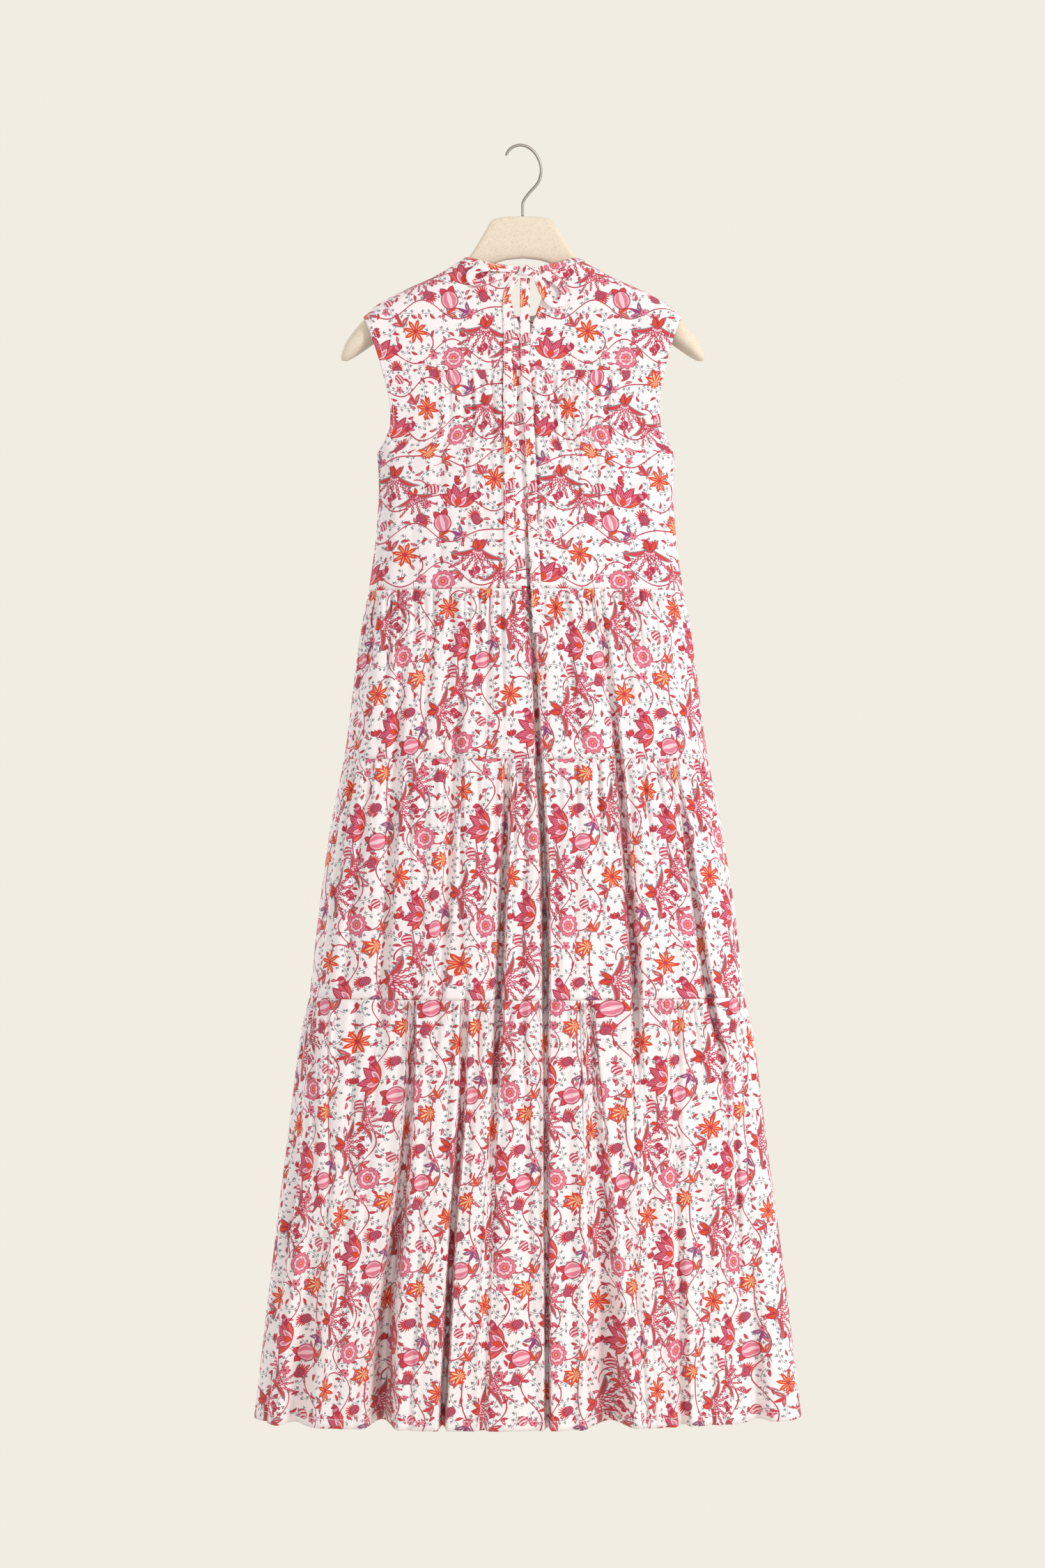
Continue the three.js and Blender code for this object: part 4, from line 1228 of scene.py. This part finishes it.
def band_points(rows=12, columns=330):
    """Points and map of the band, from the slit's left edge round the front to its right edge."""
    turn = np.radians(np.linspace(*BAND_ENDS, columns))
    share = np.linspace(0, 1, rows)[:, None]
    sideways, cosine = np.sin(turn), np.cos(turn)
    behind = cosine > 0
    dip = np.where(behind, BACK_DIP * neck_dip(sideways, BACK_DIP_POWER), FRONT_DIP * np.abs(cosine))
    top = NECK_POINT - dip
    seam_x = BAND_SEAM * sideways
    foot = np.where(behind, neck_seam(BACK, seam_x), neck_seam(FRONT, seam_x)) + BAND_LAP
    x = (NECK + (BAND_SEAM - BAND_LAP - NECK) * share) * sideways
    z = np.minimum(top + (foot - top) * share, ridge(x))
    crown = BAND_CROWN * (2 * share - 1) ** 2 - 0.6 * BAND_CROWN
    back, front = tube(BACK, x, z, crown), tube(FRONT, x, z, crown)
    points = np.where(behind[None, :, None], back, front)
    return points, map_grid(run_along(points[rows // 2])[None, :], -share * BAND_WIDTH)


points, maps = band_points()
sheet_piece("neck_band", points, maps, [cotton], BAND_THICKNESS)


# %% A soft line through points
def through(points, count):
    """Places and directions on a soft line through points (a centripetal Catmull-Rom line)."""
    p = np.array(points, float)
    p = np.vstack([2 * p[0] - p[1], p, 2 * p[-1] - p[-2]])
    at = np.linspace(0, len(points) - 1, count)
    i = np.minimum(at.astype(int), len(points) - 2)
    t = (at - i)[:, None]
    before, start, end, after = p[i], p[i + 1], p[i + 2], p[i + 3]
    gap = [np.linalg.norm(b - a, axis=1, keepdims=True) ** 0.5
           for a, b in ((before, start), (start, end), (end, after))]
    out = ((start - before) / gap[0] - (end - before) / (gap[0] + gap[1]) + (end - start) / gap[1]) * gap[1]
    into = ((end - start) / gap[1] - (after - start) / (gap[1] + gap[2]) + (after - end) / gap[2]) * gap[1]
    c2, c3 = 3 * (end - start) - 2 * out - into, 2 * (start - end) + out + into
    return start + t * (out + t * (c2 + t * c3)), out + t * (2 * c2 + 3 * t * c3)


# %% Tie tapes laid on the back
PATH = "x z off width"
tie_paths = {
    "tie_tail_right": table(PATH, [
        [3, -155.5, 0.6, 11], [2.7, -200, 0.4, 11.6], [3, -250, 0.4, 11.6], [8, -340, 0.4, 12],
        [12, -440, 0.4, 12], [15, -510, 0.6, 12], [17.6, -561, 0.8, 12]]),
    "tie_tail_left": table(PATH, [
        [-7.5, -155.5, 0.6, 6], [-17, -172, 0.5, 8], [-17, -220, 0.4, 10], [-16, -300, 0.4, 12],
        [-15, -390, 0.4, 13], [-14, -505, 0.6, 13]]),
    "tie_loop_left": table(PATH, [
        [-6.5, -146.5, 5.2, 6.5], [-14, -145.5, 5.4, 8], [-25, -144.5, 5.6, 9], [-40, -143.5, 5.4, 10],
        [-53, -146.5, 4.8, 10], [-59.5, -154, 4, 10], [-54, -161, 3.2, 10], [-40, -158.5, 2.4, 9.5],
        [-26, -153, 2.2, 8], [-16, -150.5, 2.4, 6.5], [-9, -149.5, 3, 5.5]]),
    "tie_loop_right": table(PATH, [
        [13, -149, 7, 8], [20, -163, 7, 10], [26, -176, 6.6, 10], [34, -185, 5.8, 9],
        [44, -184.5, 4.8, 9], [48.5, -175, 3.8, 10], [44, -164, 3.2, 11], [34, -156, 2.8, 11],
        [21, -150, 2.6, 9]]),
}
TAPE_THICKNESS, TAPE_CROWN, TAPE_LIFT = 1.0 * MM, 0.5 * MM, 0.7
TAPE_COLUMNS = 15
TAPE_RIM, TAPE_RIM_HALF, TAPE_RIM_GROOVE = 0.37, 0.05, 0.4 * MM
LOOP_STEPS, TAIL_STEPS = 150, 220


def unit(ways):
    """Directions, each of length 1."""
    return ways / np.linalg.norm(ways, axis=-1, keepdims=True)


def tape_points(path, steps):
    """A strip of tape on the back of the dress, slightly crowned, with a groove inside each edge."""
    middle, way = through(np.stack([path["x"], path["z"], path["off"]], axis=-1), steps)
    shares = np.linspace(0, 1, len(path["x"]))
    width = np.interp(np.linspace(0, 1, steps), shares, path["width"])[:, None]
    across = unit(np.stack([-way[:, 1], way[:, 0]], axis=-1))
    column = np.linspace(-0.5, 0.5, TAPE_COLUMNS)
    x = middle[:, :1] + across[:, :1] * width * column
    z = middle[:, 1:2] + across[:, 1:] * width * column
    points = tube(BACK, x - soft_read(sections, "z", z, "lean"), z)
    groove = TAPE_RIM_GROOVE * np.exp(-((np.abs(column) - TAPE_RIM) / TAPE_RIM_HALF) ** 2)
    crown = TAPE_CROWN * (1 - (2 * column) ** 4) - groove
    points[..., 1] -= middle[:, 2:] + TAPE_THICKNESS * TAPE_LIFT + crown
    return points, map_grid(width * column, -run_along(middle[:, :2])[:, None])


for name, path in tie_paths.items():
    points, maps = tape_points(path, LOOP_STEPS if "loop" in name else TAIL_STEPS)
    sheet_piece(name, points, maps, [cotton], TAPE_THICKNESS)
    grids[name, "back"] = points

# %% [markdown]
# ## Knot
#
# The knot is one turn of the tape over the two ends of the band: a small, rounded wrap with the
# folds of the tape running round it. A ring of points is carried along it, as a potter would turn
# it, and shallow creases are pressed in across the wrap.

# %% Closed skins
def closed_skin(name, node, rings, maps, material):
    """A closed skin through rings of points, with a fan at each end, that stands for a node."""
    count, sides = rings.shape[:2]
    points = np.vstack([rings.reshape(-1, 3), rings[0].mean(axis=0), rings[-1].mean(axis=0)])
    flat_maps = np.vstack([maps.reshape(-1, 2), maps[0].mean(axis=0), maps[-1].mean(axis=0)])
    here, last = np.arange(sides), (count - 1) * sides
    right, centre = (here + 1) % sides, np.full(sides, count * sides)
    faces = grid_faces(count, sides, closed=True)[:, ::-1].tolist()
    faces += np.stack([centre, right, here], axis=-1).tolist()
    faces += np.stack([centre + 1, last + here, last + right], axis=-1).tolist()
    piece = new_mesh(name, points, faces, [material], flat_maps)
    stand_for(piece, node)
    return piece


def ring_points(x, y, z, half_depth, half_height, sides, power):
    """Rings round the X axis, between an oval (power 2) and a box (high power), and their angles."""
    angle = np.linspace(0, 2 * math.pi, sides, endpoint=False)[None, :]
    shape = 2 / np.asarray(power)
    across, up = np.cos(angle), np.sin(angle)
    return np.stack([
        np.broadcast_to(x[:, None], (len(x), sides)),
        y[:, None] + half_depth[:, None] * np.sign(across) * np.abs(across) ** shape,
        z[:, None] + half_height[:, None] * np.sign(up) * np.abs(up) ** shape,
    ], axis=-1), angle


# %% Knot
KNOT_HEIGHT, KNOT_RADIUS = -147.3 * MM, 6 * MM
KNOT_RINGS, KNOT_SIDES = 60, 40
CREASE_DEPTH, CREASE_PITCH, CREASE_LEAN = 0.35 * MM, 1.25 * MM, 2.5
knot_rings = table("x off half_depth half_height", [
    [-13.6, -0.8, 0.7, 4], [-10, 0.2, 1.2, 3.8], [-5, 2.6, 2.8, 5], [0, 4, 4.2, 6], [4, 4.4, 4.6, 6.4],
    [8, 4, 4.2, 6], [12.5, 2.4, 2.8, 4.8], [15.5, 0.2, 1.2, 3.8], [17.6, -0.8, 0.7, 4],
])
x = np.linspace(knot_rings["x"][0], knot_rings["x"][-1], KNOT_RINGS)
z = np.full_like(x, KNOT_HEIGHT)
off, half_depth, half_height = (
    soft_read(knot_rings, "x", x, column) for column in ("off", "half_depth", "half_height"))
rings, angle = ring_points(x, tube(BACK, x, z)[:, 1] - off, z, half_depth, half_height, KNOT_SIDES, 2.0)
crease = CREASE_DEPTH * np.cos(x[:, None] / CREASE_PITCH + CREASE_LEAN * np.sin(angle))
rings[..., 1] += crease * soft_step(half_depth, 2 * MM, 4 * MM)[:, None] * np.cos(angle)
maps = map_grid(x[:, None], KNOT_RADIUS * angle)
knot = closed_skin("tie_knot_cloth", "tie_knot", rings, maps, cotton)
print("knot rings:", len(x))

# %% [markdown]
# ## Hanger and hook
#
# The hanger is one hollow-looking moulding with a tall neck plate and wide, rounded arms. It is
# lofted through many rings, so that its plate, shoulders and tips flow into one another. The hook is
# drawn wire, swept along an S and an open circle.

# %% Hanger body
hanger_rings = table("x top foot half_depth power", [
    [0, -80, -128, 7, 4000], [18, -80.6, -129.8, 7, 4000], [30, -82.3, -133.4, 7, 4000],
    [37, -86.5, -136, 7, 3600], [42, -95.5, -138, 7.2, 3200], [48, -105.5, -141, 7.6, 2800],
    [56, -118.5, -146.5, 8.2, 2600], [64, -129.3, -153, 9, 2400], [73.4, -135.6, -160.5, 10.4, 2400],
    [97, -149.4, -178.5, 13, 2400], [121, -160.8, -193, 15.5, 2400], [145, -172.2, -208, 17.5, 2400],
    [165, -183.6, -222, 19, 2400], [182, -199, -234, 19, 2400], [195, -214, -242.5, 17.5, 2400],
    [203, -225, -246, 14.5, 2200], [208, -236, -245.5, 8, 2000],
])
HANGER_SIDES, HANGER_ROUND = 56, 10 * MM
# The rings stand closest where the plate flows into the arms
plate, neck, arm = np.linspace(0, 30, 9), np.linspace(30, 75, 24), np.linspace(75, 208, 46)
x = np.concatenate([plate[:-1], neck[:-1], arm]) * MM
x = np.concatenate([-x[:0:-1], x])
top, foot, half_depth, power = (
    soft_read(hanger_rings, "x", np.abs(x), column) for column in ("top", "foot", "half_depth", "power"))
rings, angle = ring_points(
    x, 0 * x, (top + foot) / 2, half_depth, (top - foot) / 2, HANGER_SIDES, power[:, None])
maps = map_grid(x[:, None], HANGER_ROUND * angle)
closed_skin("hanger_body_moulding", "hanger_body", rings, maps, hanger_moulding)
print("hanger width:", round(float(x[-1] - x[0]), 3))

# %% Hook
WIRE, HOOK_RADIUS, HOOK_TURN = 3.4 * MM, 26 * MM, math.radians(35)
HOOK_ARC = range(-42, 154, 15)
HOOK_RINGS, HOOK_SIDES = 150, 20
ROUNDED_END = (0.97, 0.85, 0.55)
hook_stem = [(0, -79.7), (0, -72), (0.6, -64), (8, -53.5)]


def hook_line():
    """Places on the hook's middle line as (reach, height), from the plate up and over."""
    middle = WIRE / 2 - HOOK_RADIUS
    arc = [(HOOK_RADIUS * math.cos(math.radians(a)), middle + HOOK_RADIUS * math.sin(math.radians(a)))
           for a in HOOK_ARC]
    return [(reach * MM, z * MM) for reach, z in hook_stem] + arc


flat_line = np.array(hook_line())
way = np.array([math.cos(HOOK_TURN), math.sin(HOOK_TURN), 0])
up = np.array([0, 0, 1.0])
places, directions = through(flat_line[:, :1] * way + flat_line[:, 1:] * up, HOOK_RINGS)
side = np.cross(way, up)
other = np.cross(unit(directions), side)[:, None, :]
angle = np.linspace(0, 2 * math.pi, HOOK_SIDES, endpoint=False)
round_wire = np.cos(angle)[None, :, None] * side + np.sin(angle)[None, :, None] * other
radius = np.full((HOOK_RINGS, 1, 1), WIRE / 2)
radius[-len(ROUNDED_END):, 0, 0] *= ROUNDED_END
maps = map_grid(run_along(places)[:, None], WIRE / 2 * angle)
closed_skin("hanger_hook_wire", "hanger_hook", places[:, None] + radius * round_wire,
            maps, hook_wire)
print("hook wire:", WIRE, "m thick")

# %% [markdown]
# ## Stitches
#
# A row of white topstitching runs across the yoke, round the slit and armholes, along the tie and
# above the hem. At this distance the eye reads it as a fine broken line. A painted line would look
# flat when seen close up, so each stitch is a small spindle of thread that lies on the cloth, and
# all the stitches of one row are joined into one mesh.

# %% Lines on a sheet
TINY = 1e-12


def cloth_line(grid, z=None, column=None):
    """A line on a sheet's grid, at one height or down one column, with the outward direction."""
    out = np.cross(np.gradient(grid, axis=0), np.gradient(grid, axis=1))
    out /= np.linalg.norm(out, axis=-1, keepdims=True) + TINY
    if column is not None:
        return grid[:, column], out[:, column]
    row = np.argmin(np.abs(grid[..., 2] - z), axis=0)
    each = np.arange(grid.shape[1])
    upper = np.clip(np.where(grid[row, each, 2] >= z, row, row - 1), 0, grid.shape[0] - 2)
    top, foot = grid[upper, each], grid[upper + 1, each]
    share = np.clip((top[:, 2] - z) / (top[:, 2] - foot[:, 2] + TINY), 0, 1)[:, None]
    return top + (foot - top) * share, out[upper, each]


def edge_line(grid, column, left):
    """A line so many columns in from a sheet's left or right edge."""
    return cloth_line(grid, column=column if left else -1 - column)


def part_of(line, above, below=0.0):
    """The part of a line that lies between two heights."""
    points, out = line
    keep = (points[:, 2] > above) & (points[:, 2] < below)
    return points[keep], out[keep]


# %% Rows of stitches
STITCH, STITCH_PITCH, THREAD = 2.9 * MM, 3.4 * MM, 0.75 * MM
STITCH_SHAPE = ((-0.5, 0.35), (-0.3, 1.0), (0.3, 1.0), (0.5, 0.35))
STITCH_SIDES, STITCH_LIFT = 5, 0.25


def stitch_points(middle, forward, beside, above):
    """Points of one stitch, a spindle of thread, ring by ring."""
    points = []
    for place, size in STITCH_SHAPE:
        centre = middle + forward * place * STITCH + above * THREAD * STITCH_LIFT * size
        for angle in np.arange(STITCH_SIDES) * 2 * math.pi / STITCH_SIDES:
            points.append(centre + THREAD / 2 * size * (math.cos(angle) * beside + math.sin(angle) * above))
    return points


def stitch_faces():
    """Faces of one stitch: a band between each two rings, and a cap at each end."""
    faces = []
    for low in range(0, (len(STITCH_SHAPE) - 1) * STITCH_SIDES, STITCH_SIDES):
        for k in range(STITCH_SIDES):
            right = (k + 1) % STITCH_SIDES
            high = low + STITCH_SIDES
            faces.append((low + k, low + right, high + right, high + k))
    caps = range(STITCH_SIDES)
    return faces + [tuple(reversed(caps)), tuple(high + k for k in caps)]


def read_line(values, run, at):
    """Values along a line, read at some distances from its start."""
    return np.stack([np.interp(at, run, axis) for axis in values.T], axis=-1)


def stitch_row(name, lines):
    """All the stitches along some lines, joined into one mesh."""
    points, faces, one_stitch = [], [], stitch_faces()
    for line, out in lines:
        run = run_along(line)
        at = np.arange(STITCH_PITCH, run[-1] - STITCH, STITCH_PITCH)
        forward = unit(read_line(line, run, at + STITCH / 2) - read_line(line, run, at - STITCH / 2))
        above = unit(read_line(out, run, at))
        for stitch in zip(read_line(line, run, at), forward, np.cross(forward, above), above):
            faces += [tuple(len(points) + k for k in face) for face in one_stitch]
            points += stitch_points(*stitch)
    piece = new_mesh(name, points, faces, [white_thread])
    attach(piece, "root")
    print(name, "stitches:", len(faces) // len(one_stitch))
    return piece


# %% Where the stitches run
YOKE_STITCH, HEM_STITCH = -249 * MM, HEM + 10.5 * MM
SLIT_COLUMN, ARMHOLE_COLUMN, TAPE_COLUMN = 2, 3, 2
slit_top, slit_foot = neck_seam(BACK, 0.0) - 4 * MM, slit["z"][-1]
armhole_foot = UNDERARM + 3 * MM
stitches = {}
for name, slit_is_left in (("back_yoke_left", False), ("back_yoke_right", True)):
    grid = grids[name, "back"]
    beside_slit = part_of(edge_line(grid, SLIT_COLUMN, slit_is_left), slit_foot, slit_top)
    arm = edge_line(grid, ARMHOLE_COLUMN, not slit_is_left)
    stitches[f"{name}_cloth"] = stitch_row(
        f"{name}_stitches", [cloth_line(grid, z=YOKE_STITCH), beside_slit, arm])
for name, side in (("back_bodice", "back"), ("front_bodice", "front")):
    arms = [edge_line(grids["bodice", side], ARMHOLE_COLUMN, left) for left in (True, False)]
    stitches[f"{name}_cloth"] = stitch_row(
        f"{name}_armhole_stitches", [part_of(arm, armhole_foot) for arm in arms])
for side in ("back", "front"):
    hem_line = cloth_line(grids["tier_4", side], z=HEM_STITCH)
    stitches[f"tier_4_{side}_cloth"] = stitch_row(
        f"tier_4_{side}_hem_stitches", [hem_line])
for name in tie_paths:
    edges = [edge_line(grids[name, "back"], TAPE_COLUMN, left) for left in (True, False)]
    stitches[f"{name}_cloth"] = stitch_row(f"{name}_stitches", edges)

# %% The cut of each sheet
LEAST_CUT = 10.1 * MM
for name, (width, length, area) in cuts.items():
    flat = max(width, LEAST_CUT), max(length, LEAST_CUT)
    extras = [stitches[name]] if name in stitches else []
    if name == "tie_loop_right_cloth":
        extras.append(knot)
    min(area, flat[0] * flat[1])
print("cloth that shows, flat:", round(sum(cut[2] for cut in cuts.values()), 3), "square metres")

# %% [markdown]
# ## Floor, light and camera
#
# The dress hangs in front of a plain cream world, over a plain pale floor that is too low to show.
# The world looks cream, but it lights the cloth with a softer, more neutral light, as white card
# round a studio does. One soft lamp from the upper right gives the folds their shaded side, and a
# weaker one from behind lights the front of the dress.

# %% Studio
WALL = ink("#f2ede2")
SOFT_WHITE, SOFT_STRENGTH = (1.0, 0.975, 0.955, 1), 0.76
world = bpy.data.worlds.new("cream studio")
bpy.context.scene.world = world
world.use_nodes = True
nodes, links = world.node_tree.nodes, world.node_tree.links
soft_light = nodes["Background"]
soft_light.inputs["Color"].default_value = SOFT_WHITE
soft_light.inputs["Strength"].default_value = SOFT_STRENGTH
seen = nodes.new("ShaderNodeBackground")
seen.inputs["Color"].default_value = WALL
ray, either = nodes.new("ShaderNodeLightPath"), nodes.new("ShaderNodeMixShader")
links.new(ray.outputs["Is Camera Ray"], either.inputs[0])
links.new(soft_light.outputs[0], either.inputs[1])
links.new(seen.outputs[0], either.inputs[2])
links.new(either.outputs[0], nodes["World Output"].inputs["Surface"])


def soft_lamp(name, place, aim, power, size):
    """A square lamp that the camera doesn't see, in watts and metres."""
    lamp = bpy.data.lights.new(name, "AREA")
    lamp.energy, lamp.size = power, size
    lamp_object = bpy.data.objects.new(name, lamp)
    lamp_object.visible_camera = False
    lamp_object.location = place
    lamp_object.rotation_euler = (Vector(aim) - Vector(place)).to_track_quat("-Z", "Y").to_euler()
    bpy.context.scene.collection.objects.link(lamp_object)


soft_lamp("key light", place=(2.7, -2.4, 0.2), aim=(0, 0, -0.9), power=65, size=0.9)
soft_lamp("light from behind", place=(-2.8, 2.4, 0.3), aim=(0, 0, -0.75), power=30, size=1.6)

# %% Floor
FLOOR_HEIGHT, FLOOR_RADIUS, FLOOR_SIDES = -1.9, 0.85, 64
turn = np.linspace(0, 2 * math.pi, FLOOR_SIDES, endpoint=False)
rim = np.stack([FLOOR_RADIUS * np.cos(turn), FLOOR_RADIUS * np.sin(turn), 0 * turn + FLOOR_HEIGHT], axis=-1)
floor_mesh = bpy.data.meshes.new("floor")
floor_mesh.from_pydata(rim.tolist(), [], [tuple(range(FLOOR_SIDES))])
floor_mesh.materials.append(Finish("pale floor", Base_Color=ink("#efe9dd"), Roughness=0.8).material)
floor = bpy.data.objects.new("floor", floor_mesh)
bpy.context.scene.collection.objects.link(floor)

# %% Camera
CAMERA_DISTANCE, CAMERA_HEIGHT = 3.3, -0.7315
SENSOR_HEIGHT, LENS = 36, 66
camera_data = bpy.data.cameras.new("camera")
camera_data.sensor_fit = "VERTICAL"
camera_data.sensor_height = SENSOR_HEIGHT
camera_data.lens = LENS
camera = bpy.data.objects.new("camera", camera_data)
camera.location = (0, -CAMERA_DISTANCE, CAMERA_HEIGHT)
camera.rotation_euler = (math.pi / 2, 0, 0)
bpy.context.scene.collection.objects.link(camera)
bpy.context.scene.camera = camera
bpy.context.scene.view_settings.view_transform = "Standard"
